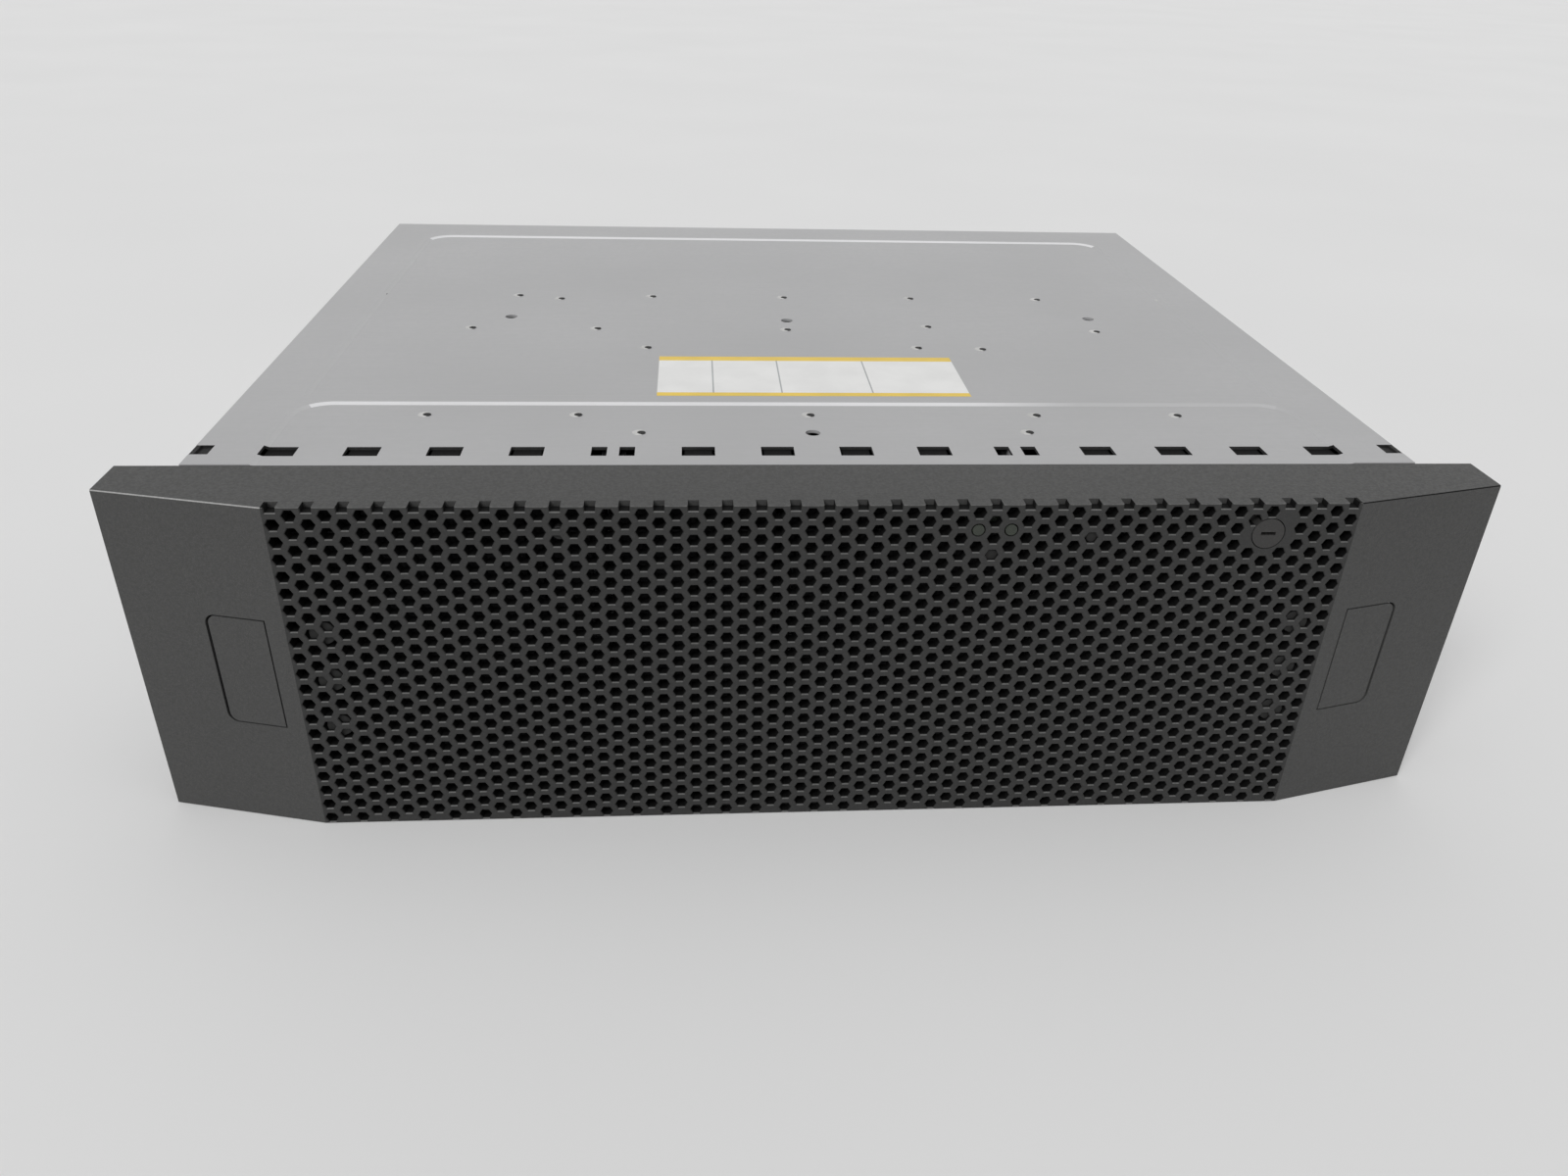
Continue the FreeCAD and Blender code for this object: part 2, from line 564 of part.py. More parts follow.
def bezel_shell():
    """The moulded surround: top, bottom, sides and the sloping wings with their button windows."""
    edge_y = FRONT - BEZEL_EDGE_REACH
    outer = [(-BEZEL_HALF, BEZEL_REAR), (-BEZEL_HALF, edge_y), (-GRILLE_HALF, BEZEL_FACE),
             (GRILLE_HALF, BEZEL_FACE), (BEZEL_HALF, edge_y), (BEZEL_HALF, BEZEL_REAR)]
    side = BEZEL_HALF - BEZEL_WALL
    inner = [(-side, BEZEL_REAR + 1), (-side, wing_inner_y(side)), (-GRILLE_HALF, wing_inner_y(GRILLE_HALF)),
             (-GRILLE_HALF, GRILLE_BACK), (GRILLE_HALF, GRILLE_BACK),
             (GRILLE_HALF, wing_inner_y(GRILLE_HALF)), (side, wing_inner_y(side)), (side, BEZEL_REAR + 1)]
    shell = prism_z(outer, BEZEL_BOTTOM, BEZEL_TOP)
    hollow = prism_z(inner, BEZEL_BOTTOM + BEZEL_WALL, BEZEL_TOP - BEZEL_WALL)
    grille_place = block(-GRILLE_HALF, GRILLE_HALF, BEZEL_FACE - 1, GRILLE_BACK, BEZEL_BOTTOM - 1,
                         BEZEL_TOP + 1)
    window = on_wing(button_outline(BUTTON_GAP, -1, BEZEL_WALL + 1))
    return shell.cut([hollow, grille_place, window, mirrored_x(window)])


def clear_of_fittings(x, z, radius):
    """True where a grille hole leaves room for the lock's sleeve and the status lights."""
    if math.hypot(x - LOCK_X, z - LOCK_HEIGHT) < LOCK_SLEEVE_R + radius:
        return False
    return all(math.hypot(x - light, z - LIGHT_HEIGHT) > 2 * LIGHT_R + radius for light in LIGHT_XS)


def bezel_grille():
    """The face of the bezel: a plate full of hexagonal holes in staggered columns."""
    column = GRILLE_COLUMN * GRILLE_COARSENESS
    row = GRILLE_ROW * GRILLE_COARSENESS
    flats = GRILLE_HOLE * GRILLE_COARSENESS
    radius = flats / math.sqrt(3)
    columns = int((GRILLE_HALF - GRILLE_EDGE - radius) / column)
    open_top = []
    holes = []
    for n in range(-columns, columns + 1):
        x = n * column
        z = BEZEL_TOP if n % 2 == 0 else BEZEL_TOP - row / 2
        while z > BEZEL_BOTTOM + flats / 2 + GRILLE_EDGE:
            if clear_of_fittings(x, z, radius):
                (open_top if z > BEZEL_TOP - flats / 2 else holes).append((x, z))
            z -= row
    outline = [(-GRILLE_HALF, BEZEL_BOTTOM), (GRILLE_HALF, BEZEL_BOTTOM), (GRILLE_HALF, BEZEL_TOP)]
    for x, z in reversed(open_top):
        low = z - flats / 2
        outline += [(x + radius, z), (x + radius / 2, low), (x - radius / 2, low), (x - radius, z)]
    outline.append((-GRILLE_HALF, BEZEL_TOP))
    wires = [wire_y(outline, BEZEL_FACE)] + [wire_y(hexagon(x, z, flats), BEZEL_FACE) for x, z in holes]
    for x, z, bore in [(LOCK_X, LOCK_HEIGHT, LOCK_R + LOCK_FIT)] + \
            [(light, LIGHT_HEIGHT, LIGHT_R + LOCK_FIT) for light in LIGHT_XS]:
        circle = Part.Circle(Vector(x, BEZEL_FACE, z), Vector(0, 1, 0), bore)
        wires.append(Part.Wire([circle.toShape()]))
    face = Part.Face(wires, "Part::FaceMakerBullseye")
    return face.extrude(Vector(0, GRILLE_THICKNESS, 0))


def latch_button():
    """The right latch button: a flush plate, and a hook arm that reaches through the rack ear."""
    plate = on_wing(button_outline(0, 0, BUTTON_THICKNESS))
    angle = math.radians(WING_ANGLE)

    def on_back(s):
        return (GRILLE_HALF + s * math.cos(angle) - (BUTTON_THICKNESS - 0.5) * math.sin(angle),
                BEZEL_FACE + s * math.sin(angle) + (BUTTON_THICKNESS - 0.5) * math.cos(angle))

    root = BUTTON_START + BUTTON_WIDTH - BUTTON_CORNER
    arm_front = FRONT - HOOK_OFFSET
    arm_back = arm_front + HOOK_THICKNESS
    root_x = on_back(root)[0]
    arm = [on_back(root - HOOK_THICKNESS), (root_x - HOOK_THICKNESS, arm_back),
           (HOOK_X - HOOK_THICKNESS, arm_back), (HOOK_X - HOOK_THICKNESS, FRONT + HOOK_REACH),
           (HOOK_X, FRONT + HOOK_REACH), (HOOK_X, arm_front), (root_x, arm_front), on_back(root)]
    hook = prism_z(arm, BUTTON_MIDDLE - HOOK_HEIGHT / 2, BUTTON_MIDDLE + HOOK_HEIGHT / 2)
    return fused([plate, hook])


def lock_housing():
    """The sleeve behind the grille that carries the lock barrel."""
    end = GRILLE_BACK + LOCK_LENGTH - GRILLE_THICKNESS - CAM_THICKNESS
    sleeve = rod_y(LOCK_X, LOCK_HEIGHT, LOCK_SLEEVE_R, GRILLE_BACK, end)
    return sleeve.cut(rod_y(LOCK_X, LOCK_HEIGHT, LOCK_R + LOCK_FIT, GRILLE_BACK - 1, end + 1))


def lock_barrel():
    """The barrel with its keyway in front and the cam on its rear end."""
    end = BEZEL_FACE + LOCK_LENGTH
    barrel = rod_y(LOCK_X, LOCK_HEIGHT, LOCK_R, BEZEL_FACE, end)
    keyway = block(LOCK_X - KEYWAY_LENGTH / 2, LOCK_X + KEYWAY_LENGTH / 2, BEZEL_FACE - 1,
                   BEZEL_FACE + KEYWAY_DEPTH, LOCK_HEIGHT - KEYWAY_WIDTH / 2, LOCK_HEIGHT + KEYWAY_WIDTH / 2)
    cam = block(LOCK_X - CAM_LENGTH, LOCK_X + CAM_WIDTH / 2, end - SEAT_GAP, end + CAM_THICKNESS - SEAT_GAP,
                LOCK_HEIGHT - CAM_WIDTH / 2, LOCK_HEIGHT + CAM_WIDTH / 2)
    return fused([barrel.cut(keyway), cam])


def status_light_pipes():
    """Two clear light pipes in the grille, joined by a bar behind it."""
    pipes = [rod_y(x, LIGHT_HEIGHT, LIGHT_R, BEZEL_FACE, BEZEL_FACE + LIGHT_LENGTH) for x in LIGHT_XS]
    bar = block(LIGHT_XS[0] - 2 * LIGHT_R, LIGHT_XS[-1] + 2 * LIGHT_R, GRILLE_BACK,
                GRILLE_BACK + LIGHT_BAR_THICKNESS, LIGHT_HEIGHT - LIGHT_BAR_HEIGHT / 2,
                LIGHT_HEIGHT + LIGHT_BAR_HEIGHT / 2)
    return fused([bar] + pipes)


# ---------------------------------------------------------------- disk modules
def runner(z0, z1, drive_side):
    """A channel along the drive's edge; drive_side is the height of its web."""
    half = CARRIER_WIDTH / 2
    web0, web1 = sorted((drive_side, drive_side + math.copysign(RUNNER_SHEET, (z0 + z1) / 2 - drive_side)))
    y0, y1 = FRONT - FASCIA_PROUD + FASCIA_THICKNESS, DRIVE_REAR
    web = block(-half, half, y0, y1, web0, web1)
    left = block(-half, -half + RUNNER_SHEET, y0, y1, z0, z1)
    return fused([web, left, mirrored_x(left)])


def disk_carrier():
    """The carrier at the middle of the row: a fascia with windows and hinge ears, and two runners."""
    half = CARRIER_WIDTH / 2
    y0 = FRONT - FASCIA_PROUD
    y1 = y0 + FASCIA_THICKNESS
    fascia = block(-half, half, y0, y1, FASCIA_BOTTOM, FASCIA_TOP)
    middle = (FASCIA_BOTTOM + FASCIA_TOP) / 2
    for z in (middle - FASCIA_WINDOW_HEIGHT - FASCIA_BAR / 2, middle + FASCIA_BAR / 2):
        fascia = fascia.cut(block(-FASCIA_WINDOW_WIDTH / 2, FASCIA_WINDOW_WIDTH / 2, y0 - 1, y1 + 1, z,
                                  z + FASCIA_WINDOW_HEIGHT))
    ear_inner = HANDLE_WIDTH / 2 + SEAT_GAP
    ear = block(ear_inner, ear_inner + KNUCKLE_EAR, HANDLE_PIVOT_Y - HANDLE_KNUCKLE_R, y0,
                HANDLE_PIVOT_Z - HANDLE_KNUCKLE_R, HANDLE_PIVOT_Z + HANDLE_KNUCKLE_R)
    drive_top = DRIVE_BOTTOM + DRIVE_HEIGHT
    return [fused([fascia, ear, mirrored_x(ear)]), runner(CARRIER_BOTTOM, DRIVE_BOTTOM, DRIVE_BOTTOM),
            runner(drive_top, CARRIER_TOP, drive_top)]


def disk_drive():
    """The drive at the middle of the row, and its plug towards the midplane."""
    half = DRIVE_WIDTH / 2
    body = block(-half, half, DRIVE_FRONT, DRIVE_REAR, DRIVE_BOTTOM, DRIVE_BOTTOM + DRIVE_HEIGHT)
    z0 = DRIVE_BOTTOM + PLUG_LIFT
    plug = block(-PLUG_WIDTH / 2, PLUG_WIDTH / 2, DRIVE_REAR, DRIVE_REAR + PLUG_DEPTH, z0, z0 + PLUG_HEIGHT)
    return [body, plug]


def carrier_handle():
    """The lever in front of the fascia, with a knuckle at its foot and a finger lip on top."""
    half = HANDLE_WIDTH / 2
    back = FRONT - FASCIA_PROUD - HANDLE_GAP
    front = back - HANDLE_THICKNESS
    low, high = HANDLE_PIVOT_Z - HANDLE_KNUCKLE_R, HANDLE_PIVOT_Z + HANDLE_LENGTH
    knuckle_front = HANDLE_PIVOT_Y - HANDLE_KNUCKLE_R
    side = [(back, HANDLE_PIVOT_Z), (back, high - HANDLE_THICKNESS), (front - HANDLE_THICKNESS, high),
            (front - HANDLE_THICKNESS, high - HANDLE_THICKNESS), (front, high - 3 * HANDLE_THICKNESS),
            (front, HANDLE_PIVOT_Z + 2 * HANDLE_KNUCKLE_R), (knuckle_front, HANDLE_PIVOT_Z),
            (HANDLE_PIVOT_Y, low)]
    return prism_x(side, -half, half)


# ---------------------------------------------------------------- rear modules
def louvres(x, z):
    """Slots that cut the blower's guard in the rear wall, inside a circle."""
    cuts = []
    pitch = 2 * DUCT_R / LOUVRE_COUNT
    for i in range(LOUVRE_COUNT):
        offset = (i - (LOUVRE_COUNT - 1) / 2) * pitch
        reach = abs(offset) + LOUVRE_HEIGHT / 2
        half = math.sqrt(DUCT_R ** 2 - reach ** 2)
        cuts.append(block(x - half, x + half, REAR - POWER_SHEET - 1, REAR + 1,
                          z + offset - LOUVRE_HEIGHT / 2, z + offset + LOUVRE_HEIGHT / 2))
    return cuts


def blower_mount(x, z):
    """Two baffles beside the rotor, and the beam between them that carries its shaft."""
    y1 = REAR - POWER_SHEET
    y0 = y1 - DUCT_DEPTH
    floor, ceiling = POWER_BOTTOM + POWER_SHEET, POWER_TOP - POWER_SHEET
    baffles = [block(x + side, x + side + DUCT_WALL, y0, y1, floor, ceiling)
               for side in (-DUCT_R - DUCT_WALL, DUCT_R)]
    cup = rod_y(x, z, ROTOR_HUB_R, y0, y0 + STATOR_CUP_DEPTH)
    beam = block(x - DUCT_R, x + DUCT_R, y0, y0 + STATOR_STRUT, z - STATOR_STRUT, z + STATOR_STRUT)
    bore = rod_y(x, z, ROTOR_SHAFT_R + ROTOR_SHAFT_FIT, y0 - 1, y0 + STATOR_CUP_DEPTH + 1)
    return baffles + [fused([cup, beam]).cut(bore)]


def blower_rotor(x, z):
    """Hub, shaft and slanted blades that stay inside the rotor's circle."""
    y1 = REAR - POWER_SHEET - ROTOR_SET_BACK
    y0 = y1 - ROTOR_DEPTH
    sides = 3 * ROTOR_BLADES
    corners = [(x + ROTOR_HUB_R * math.cos(2 * math.pi * i / sides),
                z + ROTOR_HUB_R * math.sin(2 * math.pi * i / sides)) for i in range(sides)]
    hub = prism_y(corners, y0, y1)
    shaft = rod_y(x, z, ROTOR_SHAFT_R, REAR - POWER_SHEET - DUCT_DEPTH, y0 + 1)
    swept = ROTOR_DEPTH / math.cos(math.radians(BLADE_ANGLE)) - BLADE_THICKNESS * 2
    lean = (swept * math.sin(math.radians(BLADE_ANGLE)) + BLADE_THICKNESS) / 2
    root = math.sqrt(ROTOR_HUB_R ** 2 - lean ** 2) - 1
    tip = math.sqrt(ROTOR_R ** 2 - lean ** 2)
    blades = []
    for turn in range(ROTOR_BLADES):
        blade = block(root, tip, -swept / 2, swept / 2, -BLADE_THICKNESS / 2, BLADE_THICKNESS / 2)
        blade.rotate(Vector(0, 0, 0), Vector(1, 0, 0), BLADE_ANGLE)
        blade.rotate(Vector(0, 0, 0), Vector(0, 1, 0), 360 * turn / ROTOR_BLADES)
        blades.append(moved(blade, x=x, y=(y0 + y1) / 2, z=z))
    return fused([hub, shaft] + blades)


def lever_ears(width, pivot_z, wall_y):
    """The pair of ears that hold a pull lever."""
    inner = width / 2 + SEAT_GAP
    right = block(inner, inner + LEVER_EAR, wall_y, wall_y + SEAT_GAP + 2 * LEVER_PIVOT_R,
                  pivot_z - LEVER_PIVOT_R, pivot_z + LEVER_PIVOT_R)
    return [right, mirrored_x(right)]


def pull_lever(width, length, pivot_z, wall_y):
    """A lever that hangs from its pivot and swings out at the rear."""
    half = width / 2
    y0 = wall_y + SEAT_GAP
    pivot_y = y0 + LEVER_PIVOT_R
    plate = block(-half, half, y0, y0 + LEVER_THICKNESS, pivot_z - length, pivot_z)
    barrel = rod_x(pivot_y, pivot_z, LEVER_PIVOT_R, -half, half)
    window_half = half * LEVER_WINDOW_SHARE
    window_z = pivot_z - length / 2 - LEVER_PIVOT_R / 2
    window = block(-window_half, window_half, y0 - 1, y0 + LEVER_THICKNESS + 1,
                   window_z - LEVER_WINDOW_HEIGHT / 2, window_z + LEVER_WINDOW_HEIGHT / 2)
    return fused([plate, barrel]).cut(window)


POWER_LEVER_Z = BRIDGE_MIDDLE + POWER_LEVER_LENGTH / 2
CARD_LEVER_Z = (CARD_BOTTOM + CARD_TOP) / 2 + CARD_LEVER_LENGTH / 2


def wing_panels():
    """The sheets of the power module's right wing, each meeting the next at its edge."""
    front, back = MODULE_FRONT + POWER_SHEET, REAR - POWER_SHEET
    floor = POWER_BOTTOM + POWER_SHEET
    guard = block(NOTCH_HALF, POWER_HALF, back, REAR, POWER_BOTTOM, POWER_TOP)
    return [
        block(POWER_HALF - POWER_SHEET, POWER_HALF, front, back, POWER_BOTTOM, POWER_TOP - POWER_SHEET),
        block(NOTCH_HALF, POWER_HALF - POWER_SHEET, front, back, POWER_BOTTOM, floor),
        block(NOTCH_HALF, NOTCH_HALF + POWER_SHEET, front, back, floor, NOTCH_TOP + POWER_SHEET),
        block(NOTCH_HALF, POWER_HALF, MODULE_FRONT, front, POWER_BOTTOM, BLOWER_Z),
        guard.cut(louvres(BLOWER_X, BLOWER_Z)),
    ]


def bridge_panels():
    """The lid over both wings, and the floor, front and rear of the bridge between them."""
    front, back = MODULE_FRONT + POWER_SHEET, REAR - POWER_SHEET
    inlet_cut = block(INLET_X - INLET_WIDTH / 2, INLET_X + INLET_WIDTH / 2, back - 1, REAR + 1,
                      BRIDGE_MIDDLE - INLET_HEIGHT / 2, BRIDGE_MIDDLE + INLET_HEIGHT / 2)
    switch_half = SWITCH_HEIGHT / 2 + SWITCH_CLEAR
    switch_cut = block(SWITCH_X - SWITCH_WIDTH / 2 - RUN_GAP, SWITCH_X + SWITCH_WIDTH / 2 + RUN_GAP,
                       back - 1, REAR + 1, BRIDGE_MIDDLE - switch_half, BRIDGE_MIDDLE + switch_half)
    return [
        block(-POWER_HALF, POWER_HALF, front, back, POWER_TOP - POWER_SHEET, POWER_TOP),
        block(-NOTCH_HALF, NOTCH_HALF, front, back, NOTCH_TOP, NOTCH_TOP + POWER_SHEET),
        block(-NOTCH_HALF, NOTCH_HALF, MODULE_FRONT, front, NOTCH_TOP, POWER_TOP),
        block(-NOTCH_HALF, 0, back, REAR, NOTCH_TOP, POWER_TOP).cut(inlet_cut),
        block(0, NOTCH_HALF, back, REAR, NOTCH_TOP, POWER_TOP).cut(switch_cut),
    ]


def power_case():
    """The U-shaped sheet case of the upper module, with guards, baffles, beams and lever ears."""
    half = wing_panels() + blower_mount(BLOWER_X, BLOWER_Z)
    return bridge_panels() + half + [mirrored_x(sheet) for sheet in half] + \
        lever_ears(POWER_LEVER_WIDTH, POWER_LEVER_Z, REAR)


def power_inlet():
    """The mains inlet: a flanged socket, and the three blades that stand on its floor."""
    half_w, half_h = INLET_WIDTH / 2, INLET_HEIGHT / 2
    z = BRIDGE_MIDDLE
    body = block(INLET_X - half_w, INLET_X + half_w, REAR - INLET_DEPTH, REAR, z - half_h, z + half_h)
    flange = block(INLET_X - half_w - INLET_FLANGE_RIM, INLET_X + half_w + INLET_FLANGE_RIM, REAR,
                   REAR + INLET_FLANGE, z - half_h - INLET_FLANGE_RIM, z + half_h + INLET_FLANGE_RIM)
    floor_y = REAR - INLET_DEPTH + INLET_FLANGE
    corner = 3.0
    cavity_w, cavity_h = INLET_CAVITY_WIDTH / 2, INLET_CAVITY_HEIGHT / 2
    cavity = prism_y([(INLET_X - cavity_w, z - cavity_h), (INLET_X + cavity_w, z - cavity_h),
                      (INLET_X + cavity_w, z + cavity_h - corner), (INLET_X + cavity_w - corner, z + cavity_h),
                      (INLET_X - cavity_w + corner, z + cavity_h), (INLET_X - cavity_w, z + cavity_h - corner)],
                     floor_y, REAR + INLET_FLANGE + 1)
    blades = []
    for column, lift in ((-1, -1.5), (0, 2.5), (1, -1.5)):
        x = INLET_X + column * INLET_PIN_PITCH
        blades.append(block(x - 1, x + 1, floor_y, floor_y + INLET_PIN_LENGTH, z + lift - 2, z + lift + 2))
    return [fused([body, flange]).cut(cavity)] + blades


def power_switch():
    """The rocker, tilted to one side of level; it turns about its own middle."""
    z = BRIDGE_MIDDLE
    half = SWITCH_HEIGHT / 2
    rise = half * math.tan(math.radians(SWITCH_TILT))
    face = [(REAR - SWITCH_DEPTH, z - half + 1), (REAR + rise, z - half), (REAR, z), (REAR + rise, z + half),
            (REAR - SWITCH_DEPTH, z + half - 1)]
    rocker = prism_x(face, SWITCH_X - SWITCH_WIDTH / 2, SWITCH_X + SWITCH_WIDTH / 2)
    rocker.rotate(Vector(SWITCH_X, REAR - SWITCH_DEPTH / 2, z), Vector(1, 0, 0), SWITCH_TILT)
    return rocker


def card_tray():
    """The upper link card's tray: floor, low sides, faceplate, lever ears and two port cages."""
    half = CARD_WIDTH / 2
    face_y = REAR - CARD_FACE
    floor = block(-half, half, MODULE_FRONT, face_y, CARD_BOTTOM, CARD_BOTTOM + CARD_SHEET)
    side = block(half - CARD_SHEET, half, MODULE_FRONT, face_y, CARD_BOTTOM, CARD_BOTTOM + CARD_SIDE_HEIGHT)
    face = block(-half, half, face_y, REAR, CARD_BOTTOM, CARD_TOP)
    pieces = [floor, side, mirrored_x(side), face] + lever_ears(CARD_LEVER_WIDTH, CARD_LEVER_Z, REAR)
    inset = BOARD_STANDOFF_INSET
    for x in (-half + inset, half - inset):
        for y in (MODULE_FRONT + inset, face_y - inset):
            w = BOARD_STANDOFF_WIDTH / 2
            pieces.append(block(x - w, x + w, y - w, y + w, CARD_BOTTOM + CARD_SHEET,
                                CARD_BOTTOM + CARD_SHEET + BOARD_STANDOFF))
    cage_z0 = CARD_BOTTOM + CARD_SHEET + BOARD_STANDOFF + BOARD_THICKNESS
    cavities = []
    for column in (-0.5, 0.5):
        x = PORT_MIDDLE + column * PORT_PITCH
        w = PORT_WIDTH / 2
        pieces.append(block(x - w - PORT_WALL, x + w + PORT_WALL, face_y - PORT_DEPTH, face_y, cage_z0,
                            cage_z0 + PORT_HEIGHT + 2 * PORT_WALL))
        cavities.append(block(x - w, x + w, face_y - PORT_DEPTH + PORT_WALL, REAR + 1, cage_z0 + PORT_WALL,
                              cage_z0 + PORT_WALL + PORT_HEIGHT))
    return fused(pieces).cut(cavities)


def card_board():
    """The card's circuit board with a finned heat sink and the plug towards the midplane."""
    half = CARD_WIDTH / 2 - BOARD_EDGE
    z0 = CARD_BOTTOM + CARD_SHEET + BOARD_STANDOFF
    z1 = z0 + BOARD_THICKNESS
    board = block(-half, half, MODULE_FRONT, REAR - CARD_FACE - RUN_GAP, z0, z1)
    middle_y = (MODULE_FRONT + REAR) / 2
    pieces = [board, block(-HEAT_SINK / 2, HEAT_SINK / 2, middle_y - HEAT_SINK / 2, middle_y + HEAT_SINK / 2,
                           z1, z1 + HEAT_SINK_BASE)]
    pitch = HEAT_SINK / HEAT_SINK_FINS
    for i in range(HEAT_SINK_FINS):
        x = -HEAT_SINK / 2 + pitch * (i + 0.25)
        pieces.append(block(x, x + pitch / 2, middle_y - HEAT_SINK / 2, middle_y + HEAT_SINK / 2, z1,
                            z1 + HEAT_SINK_HEIGHT))
    return fused(pieces)


# ---------------------------------------------------------------- nodes
def export_chassis():
    export("chassis_tub", chassis_tub())
    export("top_cover", top_cover())
    export("bay_partitions", *bay_partitions())
    export("guide_rails", *guide_rails())
    export("midplane_board", midplane_board())
    export("midplane_connectors", *midplane_connectors())
    export("module_shelf", module_shelf())
    export("rack_ears", *rack_ears())


def export_bezel():
    right = latch_button()
    export("bezel_shell", bezel_shell())
    export("bezel_grille", bezel_grille())
    export("right_latch_button", right)
    export("left_latch_button", mirrored_x(right))
    export("lock_housing", lock_housing())
    export("lock_barrel", lock_barrel())
    export("status_light_pipes", status_light_pipes())


def export_disk_modules():
    module, handle = disk_carrier() + disk_drive(), carrier_handle()
    for bay in range(BAY_COUNT):
        x = bay_middle(bay)
        number = "%02d" % (bay + 1)
        export("disk_module_" + number, *[moved(solid, x=x) for solid in module])
        export("carrier_handle_" + number, moved(handle, x=x))


def export_rear_modules():
    power_module, switch = power_case() + power_inlet(), power_switch()
    rotors = {"right": blower_rotor(BLOWER_X, BLOWER_Z), "left": blower_rotor(-BLOWER_X, BLOWER_Z)}
    power_lever = pull_lever(POWER_LEVER_WIDTH, POWER_LEVER_LENGTH, POWER_LEVER_Z, REAR)
    tray, board = card_tray(), card_board()
    card_lever = pull_lever(CARD_LEVER_WIDTH, CARD_LEVER_LENGTH, CARD_LEVER_Z, REAR)
    for level, place in (("upper", lambda shape: shape), ("lower", turned_over)):
        export("power_module_" + level, *[place(solid) for solid in power_module])
        export("power_switch_" + level, place(switch))
        export("power_lever_" + level, place(power_lever))
        for side, rotor in rotors.items():
            export("blower_rotor_%s_%s" % (level, side), place(rotor))
        export("link_card_" + level, place(tray), place(board))
        export("card_lever_" + level, place(card_lever))


os.makedirs("parts", exist_ok=True)
export_chassis()
export_bezel()
export_disk_modules()
export_rear_modules()
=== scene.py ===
"""Dresses the disk shelf enclosure: fine bezel lattice, pressed cover, disk modules, rear modules,
light and camera. Lengths are in millimetres unless a comment says metres."""
import json
import math

import bmesh
import bpy
from mathutils import Matrix, Vector

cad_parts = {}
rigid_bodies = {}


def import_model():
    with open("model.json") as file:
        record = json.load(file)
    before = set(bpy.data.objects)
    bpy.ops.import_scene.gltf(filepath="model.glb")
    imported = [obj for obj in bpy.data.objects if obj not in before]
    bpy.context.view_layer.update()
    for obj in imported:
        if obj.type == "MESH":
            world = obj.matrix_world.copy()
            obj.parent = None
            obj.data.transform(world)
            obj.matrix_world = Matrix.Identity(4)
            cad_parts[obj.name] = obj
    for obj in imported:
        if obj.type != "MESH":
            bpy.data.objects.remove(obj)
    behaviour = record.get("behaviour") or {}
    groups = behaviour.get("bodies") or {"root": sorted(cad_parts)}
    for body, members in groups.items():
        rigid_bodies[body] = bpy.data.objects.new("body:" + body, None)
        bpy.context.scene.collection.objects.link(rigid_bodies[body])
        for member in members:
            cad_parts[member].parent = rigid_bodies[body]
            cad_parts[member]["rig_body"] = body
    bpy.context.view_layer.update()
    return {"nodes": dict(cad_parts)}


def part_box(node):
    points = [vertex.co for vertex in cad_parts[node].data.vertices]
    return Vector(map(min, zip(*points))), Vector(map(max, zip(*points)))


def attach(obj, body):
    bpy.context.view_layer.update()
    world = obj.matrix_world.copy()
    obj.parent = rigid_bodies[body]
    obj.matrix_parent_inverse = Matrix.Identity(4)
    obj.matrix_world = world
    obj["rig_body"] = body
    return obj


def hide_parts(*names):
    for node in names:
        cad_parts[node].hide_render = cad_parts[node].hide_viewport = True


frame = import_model()

MM = 0.001                   # a millimetre in Blender's metres


# ---------------- places read from the frame
def box_mm(node):
    """(lowest, highest) corner of a node in millimetres."""
    low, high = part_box(node)
    return low / MM, high / MM


def middle_mm(node):
    low, high = box_mm(node)
    return (low + high) / 2


COVER_LOW, COVER_HIGH = box_mm("top_cover")
GRILLE_LOW, GRILLE_HIGH = box_mm("bezel_grille")
FRONT, REAR = COVER_LOW.y, COVER_HIGH.y
SIDE = COVER_HIGH.x
COVER_TOP = COVER_HIGH.z
TUB_TOP = box_mm("chassis_tub")[1].z
BEZEL_TOP = box_mm("bezel_shell")[1].z
BAYS = ["%02d" % number for number in range(1, 16)]
SHELF_MIDDLE = (middle_mm("power_module_upper").z + middle_mm("power_module_lower").z) / 2

# The moulded lattice of the bezel
LATTICE_COLUMN = 5.64        # from column to column
LATTICE_ROW = 6.40           # from hole to hole in a column
LATTICE_HOLE = 4.1           # across the hexagon's flats
LATTICE_CHAMFER = 0.3        # round each hole's mouth
LATTICE_PAINTED = 0.35       # how far the paint reaches into a hole behind its chamfer
LATTICE_EDGE = 0.3           # closed border at the bottom
NOTCH_WIDTH = 3.7            # of the holes that open through the top rail
NOTCH_TAPER = 0.15           # of a notch's half width, towards its foot
RAIL_CHAMFER = 0.25          # along the top rail's front edge
LOCK = (middle_mm("lock_housing").x, middle_mm("lock_housing").z, 5.95)     # x, z, radius
LOCK_BOSS = 7.6              # holes nearer to the lock than this are closed
LIGHTS = [(50.76, 121.2, 2.45), (62.04, 121.2, 2.45)]
LIGHT_BOSS = 2.5             # and nearer to a light pipe than this
SCREW_BOSSES = [(side * 171.5, z, 4.6) for side in (-1, 1) for z in (82.6, 63.4, 44.0)]
SMALL_BOSSES = [(56.4, 110.6, 2.6), (-89.4, 120.4, 2.4), (91.0, 118.0, 2.4)]
SCREW_BOSS_DEPTH, SMALL_BOSS_DEPTH = 8.0, 3.0       # behind the lattice
BOSS_RISE = 3.2              # into the lattice, from its back
WING_CHAMFER = 0.4            # width of the chamfers on the wings' top front edges
BUTTON_FACE = 23.0           # a latch button's pad lies this far and more in front of the chassis
